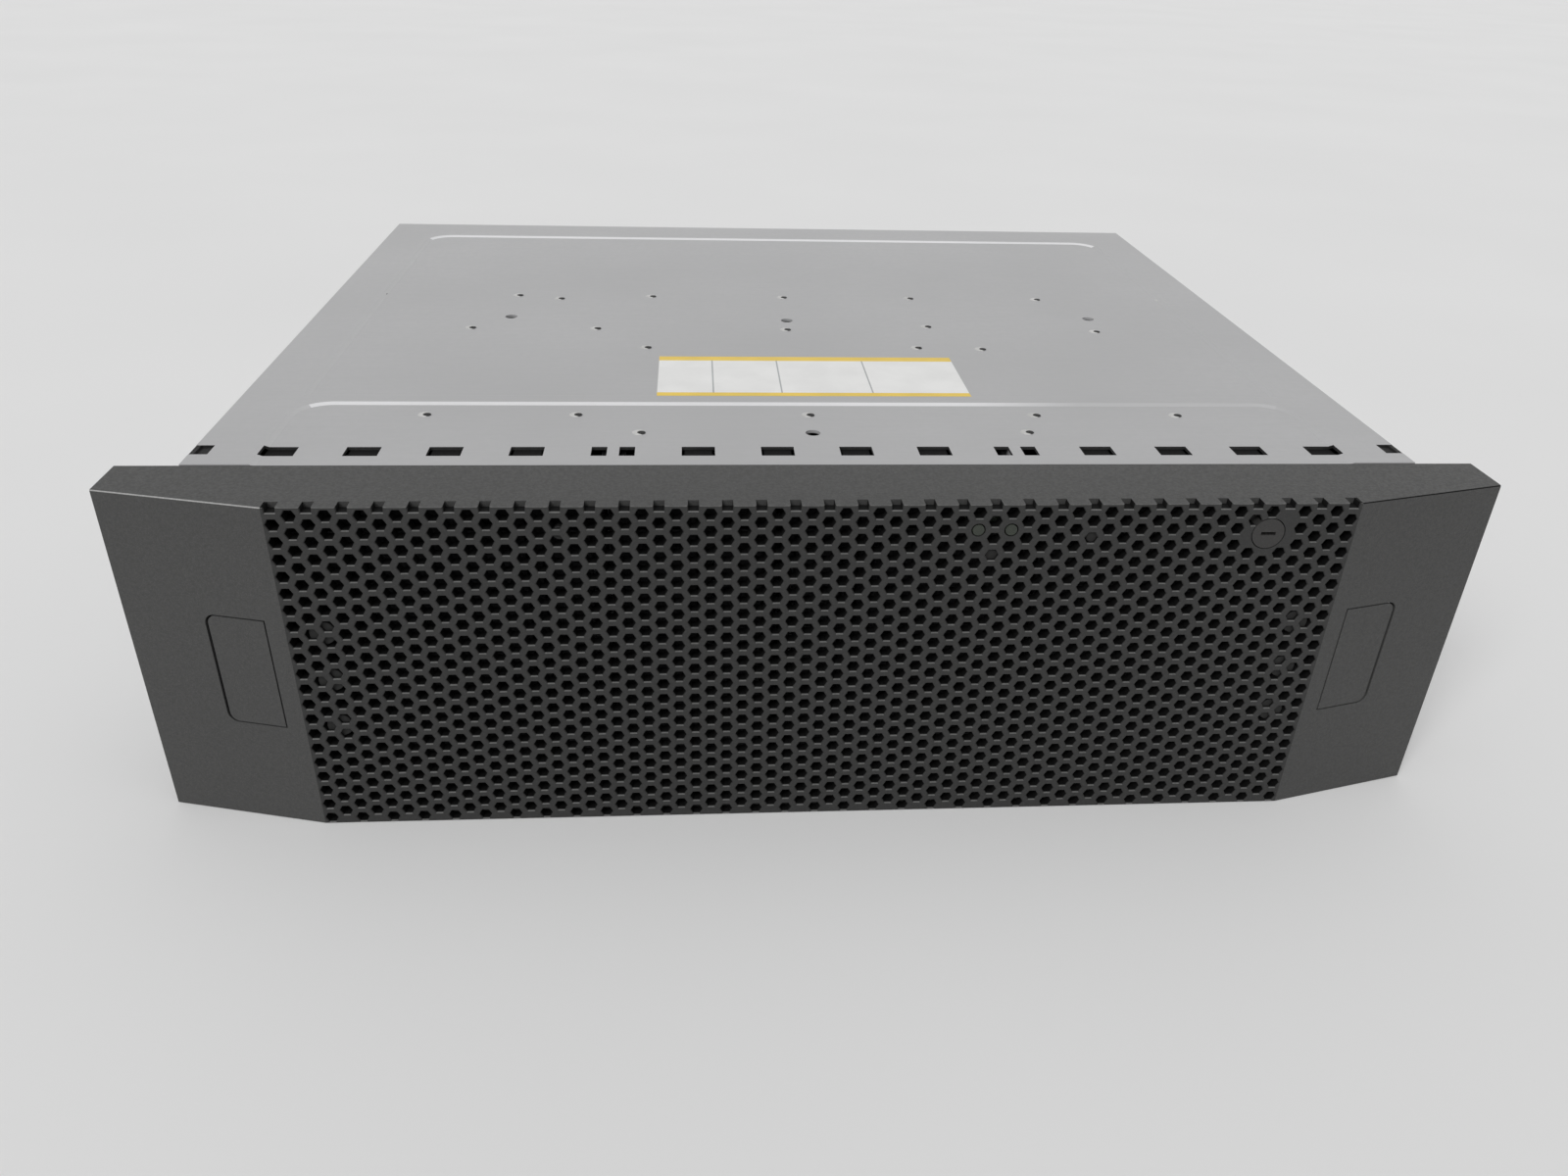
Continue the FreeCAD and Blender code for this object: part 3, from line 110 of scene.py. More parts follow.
BUTTON_EASE = (8.0, 0.5)     # over this span, by this much

# The cover. Distances behind the chassis's front are called depths here.
# Small pressed marks: the places in x at each depth
PRESSED_MARKS = {30.1: (-64.8,), 30.5: (82.7,), 48.0: (-146.5, -89.5, 0.1, 89.9, 147.1), 51.6: (205.4,),
                 52.0: (-204.5,), 104.0: (-204.0,), 106.0: (205.5,), 129.0: (-65.3, 85.7),
                 130.4: (56.5,), 156.0: (-203.6, -146.2, -89.3, -1.2, 146.8, 204.4), 161.9: (66.4,),
                 204.0: (-110.2,), 209.0: (-197.5, -131.1, -65.3, 0.7, 65.5, 131.4, 197.6)}
PRESSING = (58.0, 69.0, 327.1)      # depths: end of the first pressed panel, ends of the second
PRESSING_DROP = 0.7
STICKER_X = (-59.5, 68.5)
STICKER_DEPTHS = (67.3, 117.0)
STICKER_BAND = 5.3           # width of the bands along its front and rear
STICKER_DIVIDERS = (0.178, 0.396, 0.688)    # shares of its length
PARTITION_BAYS = (5, 10)     # a partition follows these bays
SLOT_LENGTH = 12.0
SHORT_SLOT = (2.2, 7.8)      # distances from a partition's middle
SLOT_DEPTHS = (8.7, 16.7)
SLOT_CUT = 8.0               # how far down the end slots open the cover's edge
EAR_DROP = 4.0               # of the ears' top edges below the bezel's


# ---------------- materials
def fed(tree, node, **inputs):
    """The node, with its inputs set to values or linked to other nodes' outputs."""
    for key, value in inputs.items():
        socket = node.inputs[key.replace("_", " ")]
        if isinstance(value, bpy.types.NodeSocket):
            tree.links.new(value, socket)
        else:
            socket.default_value = value
    return node


def added(tree, kind, output, **inputs):
    """An output of a new node."""
    return fed(tree, tree.nodes.new(kind), **inputs).outputs[output]


def shader(name, colour, metallic=0.0, roughness=0.5, **inputs):
    """A Principled material, with its tree, its shader node and its object coordinates."""
    material = bpy.data.materials.new(name)
    material.use_nodes = True
    tree = material.node_tree
    principled = fed(tree, tree.nodes["Principled BSDF"], Base_Color=(*colour, 1), Metallic=metallic,
                     Roughness=roughness, **inputs)
    return material, tree, principled, added(tree, "ShaderNodeTexCoord", "Object")


def noise(tree, place, scale, detail=3.0, rough=0.5, stretch=(1, 1, 1)):
    """A noise pattern, scale in repeats per metre, stretched along the axes."""
    stretched = added(tree, "ShaderNodeMapping", "Vector", Vector=place, Scale=stretch)
    return added(tree, "ShaderNodeTexNoise", "Fac", Vector=stretched, Scale=scale, Detail=detail,
                 Roughness=rough)


def ramp(tree, value, stops):
    """Colour stops [(position, (r, g, b))] over a value."""
    node = tree.nodes.new("ShaderNodeValToRGB")
    elements = node.color_ramp.elements
    while len(elements) < len(stops):
        elements.new(0.5)
    for element, (position, colour) in zip(elements, stops):
        element.position = position
        element.color = (*colour, 1)
    tree.links.new(value, node.inputs["Fac"])
    return node.outputs["Color"]


def spread(tree, value, low, high, start=0.3, end=0.7):
    """Maps a pattern's middle range to low..high."""
    return added(tree, "ShaderNodeMapRange", "Result", Value=value, From_Min=start, From_Max=end,
                 To_Min=low, To_Max=high)


def mixed(tree, factor, a, b):
    """Mixes two colours or colour outputs by a factor or factor output."""
    node = tree.nodes.new("ShaderNodeMix")
    node.data_type = "RGBA"
    for socket, value in ((node.inputs[0], factor), (node.inputs[6], a), (node.inputs[7], b)):
        if isinstance(value, bpy.types.NodeSocket):
            tree.links.new(value, socket)
        elif isinstance(value, tuple):
            socket.default_value = (*value, 1)
        else:
            socket.default_value = value
    return node.outputs[2]


def bumped(tree, principled, value, strength, distance):
    """Adds a bump from a pattern; distance is in metres."""
    normal = added(tree, "ShaderNodeBump", "Normal", Height=value, Strength=strength, Distance=distance)
    fed(tree, principled, Normal=normal)


def surfaced(tree, principled, tone, pattern, low, high):
    """Connects a colour, and a roughness that follows a pattern from low to high."""
    fed(tree, principled, Base_Color=tone, Roughness=spread(tree, pattern, low, high))


def shade(colour, factor):
    return tuple(min(1.0, channel * factor) for channel in colour)


def clouded(tree, place, colour, scale, detail, amount):
    """The colour in soft clouds, darker and lighter by an amount."""
    return ramp(tree, noise(tree, place, scale, detail),
                [(0.3, shade(colour, 1 - amount)), (0.7, shade(colour, 1 + amount))])


def sheet_metal(name, colour, mottle=0.05, metallic=0.2, roughness=0.55, lines=0.02, fade=None):
    """Zinc-coated sheet: soft clouds, faint rolling lines and a fine grain. fade gives the x range,
    in metres, over which the colour goes down to that of dull sheet."""
    material, tree, principled, place = shader(name, colour, metallic, roughness)
    spangle = noise(tree, place, 320, 2, 0.6)
    rolled = noise(tree, place, 900, 2, 0.5, (0.04, 1, 1))
    tone = clouded(tree, place, colour, 9, 4, mottle)
    tone = mixed(tree, spread(tree, spangle, 0.0, 0.35), tone, shade(colour, 1 + 1.6 * mottle))
    tone = mixed(tree, spread(tree, rolled, 0.0, lines * 10), tone, shade(colour, 1 - 2 * mottle))
    if fade:
        along = added(tree, "ShaderNodeSeparateXYZ", "X", Vector=place)
        tone = mixed(tree, spread(tree, along, 0, 1, *fade), tone, DULL_STEEL)
    surfaced(tree, principled, tone, spangle, roughness - 0.05, roughness + 0.07)
    bumped(tree, principled, rolled, 0.25, 0.00003)
    return material


def fine_paint(name, colour, metallic=0.0, roughness=0.5, sparkle=0.3):
    """Metallic paint: fine flakes, slight orange peel and slow changes of tone."""
    material, tree, principled, place = shader(name, colour, metallic, roughness,
                                               Specular_IOR_Level=0.2)
    flakes = noise(tree, place, 2600, 1, 0.5)
    coarse = noise(tree, place, 900, 2, 0.6)
    tone = clouded(tree, place, colour, 7, 3, 0.05)
    tone = mixed(tree, spread(tree, flakes, 0, sparkle, 0.45, 0.75), tone, shade(colour, 2.2))
    tone = mixed(tree, spread(tree, coarse, 0, 0.35, 0.4, 0.7), tone, shade(colour, 0.75))
    surfaced(tree, principled, tone, coarse, roughness - 0.06, roughness + 0.08)
    bumped(tree, principled, coarse, 0.35, 0.00004)
    return material


def moulded(name, colour, roughness=0.55, grain=1400, depth=0.00005, **inputs):
    """Moulded plastic: an even eroded grain and a faint change of tone."""
    material, tree, principled, place = shader(name, colour, 0.0, roughness, **inputs)
    texture = noise(tree, place, grain, 2, 0.6)
    tone = clouded(tree, place, colour, 30, 3, 0.1)
    surfaced(tree, principled, tone, texture, roughness - 0.07, roughness + 0.07)
    bumped(tree, principled, texture, 0.4, depth)
    return material


def cast_metal(name, colour, roughness=0.5, metallic=0.7):
    """Die-cast aluminium: uneven, finely pitted skin."""
    material, tree, principled, place = shader(name, colour, metallic, roughness)
    pits = noise(tree, place, 700, 4, 0.7)
    tone = clouded(tree, place, colour, 25, 3, 0.12)
    surfaced(tree, principled, tone, pits, roughness - 0.1, roughness + 0.12)
    bumped(tree, principled, pits, 0.5, 0.00008)
    return material


def circuit_board(name, colour):
    """Solder mask over copper: square tracks under the mask, small plated holes and a satin gloss."""
    material, tree, principled, place = shader(name, colour, 0.0, 0.35)

    def cells(scale, distance, feature):
        node = tree.nodes.new("ShaderNodeTexVoronoi")
        node.distance, node.feature = distance, feature
        return fed(tree, node, Vector=place, Scale=scale).outputs["Distance"]

    tracks = cells(120, "CHEBYCHEV", "DISTANCE_TO_EDGE")
    plated = spread(tree, cells(260, "MANHATTAN", "F1"), 1, 0, 0.08, 0.14)
    tone = ramp(tree, tracks, [(0.05, shade(colour, 1.9)), (0.09, colour)])
    fed(tree, principled, Base_Color=mixed(tree, plated, tone, (0.45, 0.38, 0.16)))
    bumped(tree, principled, tracks, 0.3, 0.00003)
    return material


def paper(name, colour, dirt):
    """A glossy printed label with faint marks of handling."""
    material, tree, principled, place = shader(name, colour, 0.0, 0.38)
    marks = noise(tree, place, 60, 4)
    tone = ramp(tree, marks, [(0.35, shade(colour, dirt)), (0.65, colour)])
    fed(tree, principled, Base_Color=tone)
    bumped(tree, principled, noise(tree, place, 500, 2), 0.2, 0.00003)
    return material


def clear_moulding(name, colour):
    """A light pipe: clear plastic that is dull where it is sawn."""
    material, tree, principled, place = shader(name, colour, 0.0, 0.25, Transmission_Weight=0.25,
                                               IOR=1.49)
    tone = ramp(tree, noise(tree, place, 500, 2), [(0.3, shade(colour, 0.8)), (0.7, colour)])
    fed(tree, principled, Base_Color=tone)
    return material


DULL_STEEL = (0.44, 0.44, 0.445)
STEEL = sheet_metal("galvanised_steel", (0.41, 0.41, 0.415))
# Painted highlights: lighter sheet for the cover's front-facing slopes; the next one fades out along x
SLOPE_HIGHLIGHT_STEEL = sheet_metal("slope_painted_highlight", (0.70, 0.70, 0.71), metallic=0.3, roughness=0.35)
FADING_HIGHLIGHT_STEEL = sheet_metal("fading_painted_highlight", (0.68, 0.68, 0.69), metallic=0.3, roughness=0.35,
                        fade=(0.06, 0.11))
# Painted light: a lighter sheet for the cover's left slopes, which the key light shades
LIGHTENED_SIDE_SLOPE = sheet_metal("side_slope_painted_light", (0.47, 0.47, 0.475))
MODULE_STEEL = sheet_metal("module_steel", (0.40, 0.40, 0.41), mottle=0.07, metallic=0.3)
PAINT = fine_paint("bezel_paint", (0.058, 0.058, 0.057))
# Painted shade: a darker copy of the bezel paint for its top faces
TOP_SHADE_PAINT = fine_paint("top_painted_shade", (0.051, 0.051, 0.050))
# Painted highlight: a light paint on the left wing's chamfer
RIM_HIGHLIGHT_PAINT = fine_paint("rim_painted_highlight", (0.30, 0.30, 0.295), roughness=0.35)
LATTICE_PAINT = fine_paint("lattice_paint", (0.034, 0.034, 0.0335), sparkle=0.2)
# Painted highlight: a lighter paint for the lattice's lower chamfers and the rail's front edge
EDGE_HIGHLIGHT_PAINT = fine_paint("edge_painted_highlight", (0.11, 0.11, 0.108), roughness=0.4)
EAR_PAINT = fine_paint("ear_paint", (0.04, 0.04, 0.038))
BARE_PLASTIC = moulded("bare_black_plastic", (0.007, 0.007, 0.007), 0.7, Specular_IOR_Level=0.1)
BOSS_PLASTIC = moulded("boss_plastic", (0.022, 0.022, 0.0215), 0.6, Specular_IOR_Level=0.15)
GUIDE = moulded("guide_plastic", (0.007, 0.007, 0.007), 0.75, Specular_IOR_Level=0.06)
BOARD = circuit_board("circuit_board", (0.012, 0.075, 0.035))
CONNECTOR = moulded("connector_plastic", (0.018, 0.018, 0.018), 0.45)
DRIVE = cast_metal("drive_metal", (0.33, 0.34, 0.35))
CARRIER = moulded("carrier_plastic", (0.010, 0.010, 0.0105), 0.75, Specular_IOR_Level=0.06)
FASCIA = moulded("fascia_plastic", (0.012, 0.012, 0.013), 0.5, Specular_IOR_Level=0.2)
HANDLE = moulded("handle_plastic", (0.018, 0.018, 0.02), 0.48, Specular_IOR_Level=0.25)
ROTOR = moulded("rotor_plastic", (0.02, 0.02, 0.022), 0.42)
LEVER = moulded("lever_plastic", (0.055, 0.075, 0.12), 0.45)
SWITCH = moulded("switch_plastic", (0.014, 0.014, 0.014), 0.28)
LOCK_METAL = fine_paint("lock_metal", (0.042, 0.041, 0.040), 0.0, 0.45, 0.2)
LIGHT_PIPE = clear_moulding("light_pipe", (0.034, 0.042, 0.030))
SCREW = cast_metal("zinc_screw", (0.46, 0.46, 0.45), 0.32, 0.9)
HEAT_SINK = cast_metal("anodised_sink", (0.16, 0.17, 0.18), 0.4, 0.8)
GOLD = cast_metal("contact_gold", (0.72, 0.52, 0.20), 0.28, 1.0)
CHIP = moulded("chip_resin", (0.016, 0.016, 0.017), 0.5, 2500)
# Painted shadow: a near-black stand-in for shade in slots, pits, screw recesses and gaps
SHADOW = moulded("painted_shadow", (0.006, 0.006, 0.006), 0.9)
LABEL_WHITE = paper("label_white", (0.80, 0.80, 0.79), 0.93)
LABEL_YELLOW = paper("label_yellow", (0.80, 0.55, 0.03), 0.9)
LABEL_GREY = paper("label_grey", (0.36, 0.37, 0.38), 0.9)
LAMP_GREEN = moulded("lamp_green", (0.05, 0.32, 0.10), 0.25)
LAMP_AMBER = moulded("lamp_amber", (0.50, 0.22, 0.03), 0.25)

# Material numbers of the fittings on the rear modules; the dark one is painted shade in screws' cross
# recesses
FITTINGS = [MODULE_STEEL, SCREW, SHADOW, LAMP_GREEN, LAMP_AMBER]
SHEET, METAL, RECESS_SHADE, GREEN, AMBER = range(5)


# ---------------- mesh helpers (millimetres)
def box(bm, x0, x1, y0, y1, z0, z1, slot=0, bevel=0.0):
    """A block with rounded edges when bevel is given."""
    middle = Matrix.Translation(((x0 + x1) / 2, (y0 + y1) / 2, (z0 + z1) / 2))
    place = middle @ Matrix.Diagonal((x1 - x0, y1 - y0, z1 - z0, 1))
    verts = bmesh.ops.create_cube(bm, size=1, matrix=place)["verts"]
    faces = {face for vert in verts for face in vert.link_faces}
    for face in faces:
        face.material_index = slot
    if bevel:
        edges = list({edge for vert in verts for edge in vert.link_edges})
        made = bmesh.ops.bevel(bm, geom=edges, offset=bevel, segments=2, affect="EDGES", profile=0.6)
        for face in made["faces"]:
            face.material_index = slot


def block(bm, x, y0, y1, z, half_wide, half_high, slot=0, bevel=0.0):
    """A box round (x, z)."""
    box(bm, x - half_wide, x + half_wide, y0, y1, z - half_high, z + half_high, slot, bevel)


AXES = {"x": Matrix.Rotation(math.pi / 2, 4, "Y"),
        "y": Matrix.Rotation(math.pi / 2, 4, "X"), "z": Matrix()}


def tube(bm, centre, axis, profile, slot=0, steps=24):
    """A turned shape: profile is [(distance along the axis, radius)], closed where the radius is 0."""
    turn = Matrix.Translation(centre) @ AXES[axis]
    along = -1 if axis == "y" else 1
    rings = []
    for offset, radius in profile:
        if radius == 0:
            rings.append([bm.verts.new(turn @ Vector((0, 0, along * offset)))])
            continue
        rings.append([bm.verts.new(turn @ Vector((radius * math.cos(2 * math.pi * i / steps),
                                                   radius * math.sin(2 * math.pi * i / steps),
                                                   along * offset))) for i in range(steps)])
    for a, b in zip(rings, rings[1:]):
        for i in range(steps):
            corner = [a[i % len(a)], a[(i + 1) % len(a)], b[(i + 1) % len(b)], b[i % len(b)]]
            face = bm.faces.new(list(dict.fromkeys(corner)))
            face.material_index = slot
            face.smooth = True


def rear_screw(bm, x, z, radius=2.4, height=1.0):
    """A pan head on a rear face; its cross recess is a dark cross of painted shade."""
    tube(bm, (x, REAR, z), "y", [(0, radius), (0.55 * height, radius), (0.9 * height, 0.75 * radius),
                                 (height, 0.4 * radius), (height, 0)], METAL, 18)
    long_half, narrow_half = 0.55 * radius, 0.13 * radius
    top = REAR + height + 0.02
    for wide, high in ((narrow_half, long_half), (long_half, narrow_half)):
        block(bm, x, top - 0.15, top, z, wide, high, RECESS_SHADE)


def placed(name, data):
    """A new object in the scene."""
    obj = bpy.data.objects.new(name, data)
    bpy.context.scene.collection.objects.link(obj)
    return obj


def piece(name, bm, body, materials, sharp=35):
    """Turns mesh work in millimetres into an object that rides on a CAD body."""
    bmesh.ops.scale(bm, vec=(MM, MM, MM), verts=bm.verts)
    bmesh.ops.recalc_face_normals(bm, faces=bm.faces)
    mesh = bpy.data.meshes.new(name)
    bm.to_mesh(mesh)
    bm.free()
    for material in materials:
        mesh.materials.append(material)
    mesh.set_sharp_from_angle(angle=math.radians(sharp))
    obj = placed(name, mesh)
    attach(obj, body)
    return obj


# ---------------- CAD nodes with softened edges
FLAT_AREA = 30.0             # faces larger than this, in square millimetres, are shaded flat
EDGE_ANGLE = math.radians(30)       # edges that turn more than this are rounded
EDGE_LENGTH = 2.2            # and are longer than this many times the rounding's width


def softened(node, name, materials, width, choose=None, turn=50, edge=None, adjust=None):
    """A copy of a CAD node, which it stands for, with its sheet and moulding edges rounded.
    choose(low, high) gives each loose part's material number from its box, edge is the number for
    the roundings, turn is the angle in degrees from which shading breaks, and adjust may reshape
    the copy first."""
    bm = bmesh.new()
    bm.from_mesh(frame["nodes"][node].data)
    bmesh.ops.scale(bm, vec=(1 / MM,) * 3, verts=bm.verts)
    bmesh.ops.remove_doubles(bm, verts=bm.verts, dist=0.002)
    bmesh.ops.dissolve_limit(bm, angle_limit=math.radians(1.0), verts=bm.verts, edges=bm.edges)
    if adjust:
        adjust(bm)
    for group in loose_parts(bm) if choose else ():
        corners = [vert.co for face in group for vert in face.verts]
        low = Vector(min(c[i] for c in corners) for i in range(3))
        high = Vector(max(c[i] for c in corners) for i in range(3))
        number = choose(low, high)
        for face in group:
            face.material_index = number
    edges = [e for e in bm.edges if e.is_manifold and e.calc_face_angle(0) > EDGE_ANGLE
             and e.calc_length() > EDGE_LENGTH * width]
    made = bmesh.ops.bevel(bm, geom=edges, offset=width, segments=2, affect="EDGES", profile=0.6,
                           clamp_overlap=True)
    if edge is not None:
        for face in made["faces"]:
            face.material_index = edge
    body = frame["nodes"][node]["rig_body"]
    obj = piece(name, bm, body, materials, sharp=turn)
    even = obj.modifiers.new("even_flats", "WEIGHTED_NORMAL")
    even.keep_sharp = True
    for face in obj.data.polygons:
        face.use_smooth = face.area < FLAT_AREA * MM ** 2
    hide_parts(node)
    return obj


def loose_parts(bm):
    """Groups of faces that hang together."""
    unseen = set(bm.faces)
    while unseen:
        seed = unseen.pop()
        group, queue = [seed], [seed]
        while queue:
            for edge in queue.pop().edges:
                for face in edge.link_faces:
                    if face in unseen:
                        unseen.discard(face)
                        group.append(face)
                        queue.append(face)
        yield group


# ---------------- bezel
def lattice_centres():
    """Column and row places of the hexagonal holes; even columns open through the top edge."""
    columns = int(GRILLE_HIGH.x / LATTICE_COLUMN) + 1
    rows = int((GRILLE_HIGH.z - GRILLE_LOW.z) / LATTICE_ROW) + 2
    for n in range(-columns, columns + 1):
        drop = 0 if n % 2 == 0 else LATTICE_ROW / 2
        for i in range(-1, rows + 1):
            yield n * LATTICE_COLUMN, GRILLE_HIGH.z - drop - i * LATTICE_ROW


def ring_of(x, z, wide, narrow, half, y):
    """A hexagon round (x, z): half widths at the middle and at top and bottom, and half height."""
    return [(x + wide, y, z), (x + narrow, y, z + half), (x - narrow, y, z + half),
            (x - wide, y, z), (x - narrow, y, z - half), (x + narrow, y, z - half)]


def closed_cell(x, z):
    """Whether the lattice has no hole here: at its lower edge, round the lock and the light pipes."""
    if z - LATTICE_HOLE / 2 < GRILLE_LOW.z + LATTICE_EDGE:
        return True
    if math.hypot(x - LOCK[0], z - LOCK[1]) < LOCK_BOSS:
        return True
    return any(math.hypot(x - light[0], z - light[1]) < LIGHT_BOSS for light in LIGHTS)


def bezel_lattice():
    """The moulded grille: hexagonal holes with small chamfers in staggered columns, cut off at its
    edges. Materials: 0 paint, 1 bare plastic, 2 painted highlight on the holes' lower chamfers and the
    rail's front edge, 3 the top in darker paint as painted shade."""
    face, back = GRILLE_LOW.y, GRILLE_HIGH.y
    half = LATTICE_ROW / 2
    cell_wide = (LATTICE_COLUMN ** 2 + half ** 2) / (2 * LATTICE_COLUMN)
    cell_narrow = (LATTICE_COLUMN ** 2 - half ** 2) / (2 * LATTICE_COLUMN)
    hole = LATTICE_HOLE / math.sqrt(3)
    bm = bmesh.new()
    for x, z in lattice_centres():
        cell = [ring_of(x, z, cell_wide, cell_narrow, half, y) for y in (face, back)]
        if closed_cell(x, z):
            for outline in cell:
                bm.faces.new([bm.verts.new(p) for p in outline])
            continue
        if z > GRILLE_HIGH.z - 0.1:
            wide, narrow = NOTCH_WIDTH / 2, NOTCH_WIDTH / 2 - NOTCH_TAPER
        else:
            wide, narrow = hole, hole / 2
        high, grown, chamfered = LATTICE_HOLE / 2, LATTICE_CHAMFER, face + LATTICE_CHAMFER
        loops = [cell[0],
                 ring_of(x, z, wide + grown, narrow + grown / 2, high + grown * 0.87, face),
                 ring_of(x, z, wide, narrow, high, chamfered),
                 ring_of(x, z, wide, narrow, high, chamfered + LATTICE_PAINTED),
                 ring_of(x, z, wide, narrow, high, back), cell[1]]
        rings = [[bm.verts.new(p) for p in loop] for loop in loops]
        for a, b in zip(rings, rings[1:]):
            for i in range(6):
                wall = bm.faces.new([a[i], a[(i + 1) % 6], b[(i + 1) % 6], b[i]])
                # the lower side of the chamfer and of the painted ring behind it: material 2, a painted
                # highlight
                floor = i == 4 and a in (rings[1], rings[2])
                wall.material_index = 2 if floor else 1 if a is rings[3] else 0
    bmesh.ops.remove_doubles(bm, verts=bm.verts, dist=0.01)
    for place, outwards in (((GRILLE_LOW.x, 0, 0), (-1, 0, 0)), ((GRILLE_HIGH.x, 0, 0), (1, 0, 0)),
                            ((0, 0, GRILLE_LOW.z), (0, 0, -1)), ((0, 0, GRILLE_HIGH.z), (0, 0, 1))):
        cut = bmesh.ops.bisect_plane(bm, geom=bm.verts[:] + bm.edges[:] + bm.faces[:], plane_co=place,
                                     plane_no=outwards, clear_outer=True)
        edges = [e for e in cut["geom_cut"] if isinstance(e, bmesh.types.BMEdge) and e.is_boundary]
        bmesh.ops.holes_fill(bm, edges=edges, sides=0)
    bmesh.ops.recalc_face_normals(bm, faces=bm.faces)
    # the rail's top takes the darker top paint: painted shade
    for rail in bm.faces:
        if rail.normal.z > 0.9 and rail.calc_center_median().z > GRILLE_HIGH.z - 0.05:
            rail.material_index = 3
    rims = [e for e in bm.edges if e.calc_length() > 0.3 and
            all(abs(v.co.y - face) < 0.01 and v.co.z > GRILLE_HIGH.z - 0.01 for v in e.verts)]
    made = bmesh.ops.bevel(bm, geom=rims, offset=RAIL_CHAMFER, segments=1, affect="EDGES",
                           clamp_overlap=False)
    # the rail's front chamfer: material 2, a painted highlight
    for rim in made["faces"]:
        rim.material_index = 2
    cutter = bmesh.new()
    for x, z, radius in [LOCK] + LIGHTS:
        tube(cutter, (x, 0, z), "y", [(face - 2, 0), (face - 2, radius), (back + 2, radius),
                                      (back + 2, 0)], steps=40)
    cut_mesh(bm, cutter)
    lattice = piece("bezel_lattice", bm, "bezel",
                    [LATTICE_PAINT, BARE_PLASTIC, EDGE_HIGHLIGHT_PAINT, TOP_SHADE_PAINT], sharp=12)
    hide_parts("bezel_grille")


def cut_mesh(bm, cutter):
    """Cuts one piece of mesh work out of another."""
    things = []
    for work in (bm, cutter):
        bmesh.ops.recalc_face_normals(work, faces=work.faces)
        mesh = bpy.data.meshes.new("cut")
        work.to_mesh(mesh)
        things.append(placed("cut", mesh))
    stock, tool = things
    modifier = stock.modifiers.new("cut", "BOOLEAN")
    modifier.operation, modifier.object, modifier.solver = "DIFFERENCE", tool, "EXACT"
    bpy.context.view_layer.update()
    cut = stock.evaluated_get(bpy.context.evaluated_depsgraph_get()).to_mesh()
    bm.clear()
    bm.from_mesh(cut)
    for obj in things:
        bpy.data.objects.remove(obj)
    cutter.free()


def bezel_fittings():
    """Moulded bosses behind the lattice, which fill the rear of the holes in front of them."""
    bm = bmesh.new()
    front = GRILLE_HIGH.y - BOSS_RISE
    for bosses, depth in ((SCREW_BOSSES, SCREW_BOSS_DEPTH), (SMALL_BOSSES, SMALL_BOSS_DEPTH)):
        rear = GRILLE_HIGH.y + depth
        for x, z, radius in bosses:
            tube(bm, (x, 0, z), "y", [(front, 0), (front, radius - 0.2), (front + 0.2, radius),
                                      (rear, radius), (rear, 0)], steps=20)
    piece("bezel_bosses", bm, "bezel", [BOSS_PLASTIC])


def outer_side_eased(bm):
    """Widens the gap at a button's outer side."""
    span, ease = BUTTON_EASE
    pad = [vert for vert in bm.verts if vert.co.y < FRONT - BUTTON_FACE]
    outer = max(abs(vert.co.x) for vert in pad)
    for vert in pad:
        share = max(0.0, 1 - (outer - abs(vert.co.x)) / span)
        vert.co.x -= math.copysign(ease * share, vert.co.x)


def wing_edges_chamfered(bm):
    """Chamfers the top front edge of each wing, for a painted highlight on the left and painted shade
    on the right.
    """
    edges = [e for e in bm.edges if e.calc_length() > 50 and
             all(v.co.z > BEZEL_TOP - 0.05 for v in e.verts) and
             0.1 < abs(e.verts[0].co.y - e.verts[1].co.y) / e.calc_length() < 0.5]
    bmesh.ops.bevel(bm, geom=edges, offset=WING_CHAMFER, segments=1, affect="EDGES", clamp_overlap=False)


def bezel_shell():
    """The painted surround, its top in darker paint as painted shade, with a painted highlight on the
    left wing's chamfer and painted shade, in black plastic, on the right one."""
    shell = softened("bezel_shell", "bezel_body",
                     [PAINT, RIM_HIGHLIGHT_PAINT, TOP_SHADE_PAINT, BARE_PLASTIC], 0.5, adjust=wing_edges_chamfered)
    for face in shell.data.polygons:
        if face.center.z / MM < BEZEL_TOP - 1:
            continue
        # top faces: the darker top paint, painted shade
        if face.normal.z > 0.9:
            face.material_index = 2
        # wing chamfers: a painted highlight on the left, painted shade in black plastic on the right
        elif face.normal.z > 0.5 and face.area > WING_CHAMFER * 20 * MM ** 2:
            face.material_index = 1 if face.center.x < 0 else 3


bezel_shell()
for side in ("left", "right"):
    # the pads' rounded edges in black plastic: painted shade of the gap round each button
    softened(side + "_latch_button", side + "_latch_pad", [PAINT, BARE_PLASTIC], 0.3,
             edge=1, adjust=outer_side_eased)
bezel_lattice()
bezel_fittings()


# ---------------- cover
def cover_marks():
    """Small half-sheared marks: a raised crescent beside a dark disc, painted shade that stands for a
    shallow pit.
    """
    bm = bmesh.new()
    for depth, places in PRESSED_MARKS.items():
        y, z = FRONT + depth, pressed_top(depth)
        for x in places:
            tube(bm, (x - 0.5, y + 0.3, z), "z", [(0, 2.5), (0.22, 2.2), (0.27, 1.6), (0.2, 0)], 0, 20)
            tube(bm, (x + 0.5, y - 0.2, z), "z", [(0.2, 1.6), (0.29, 1.5), (0.3, 0)], 1, 16)
    piece("cover_marks", bm, "chassis", [SCREW, SHADOW])


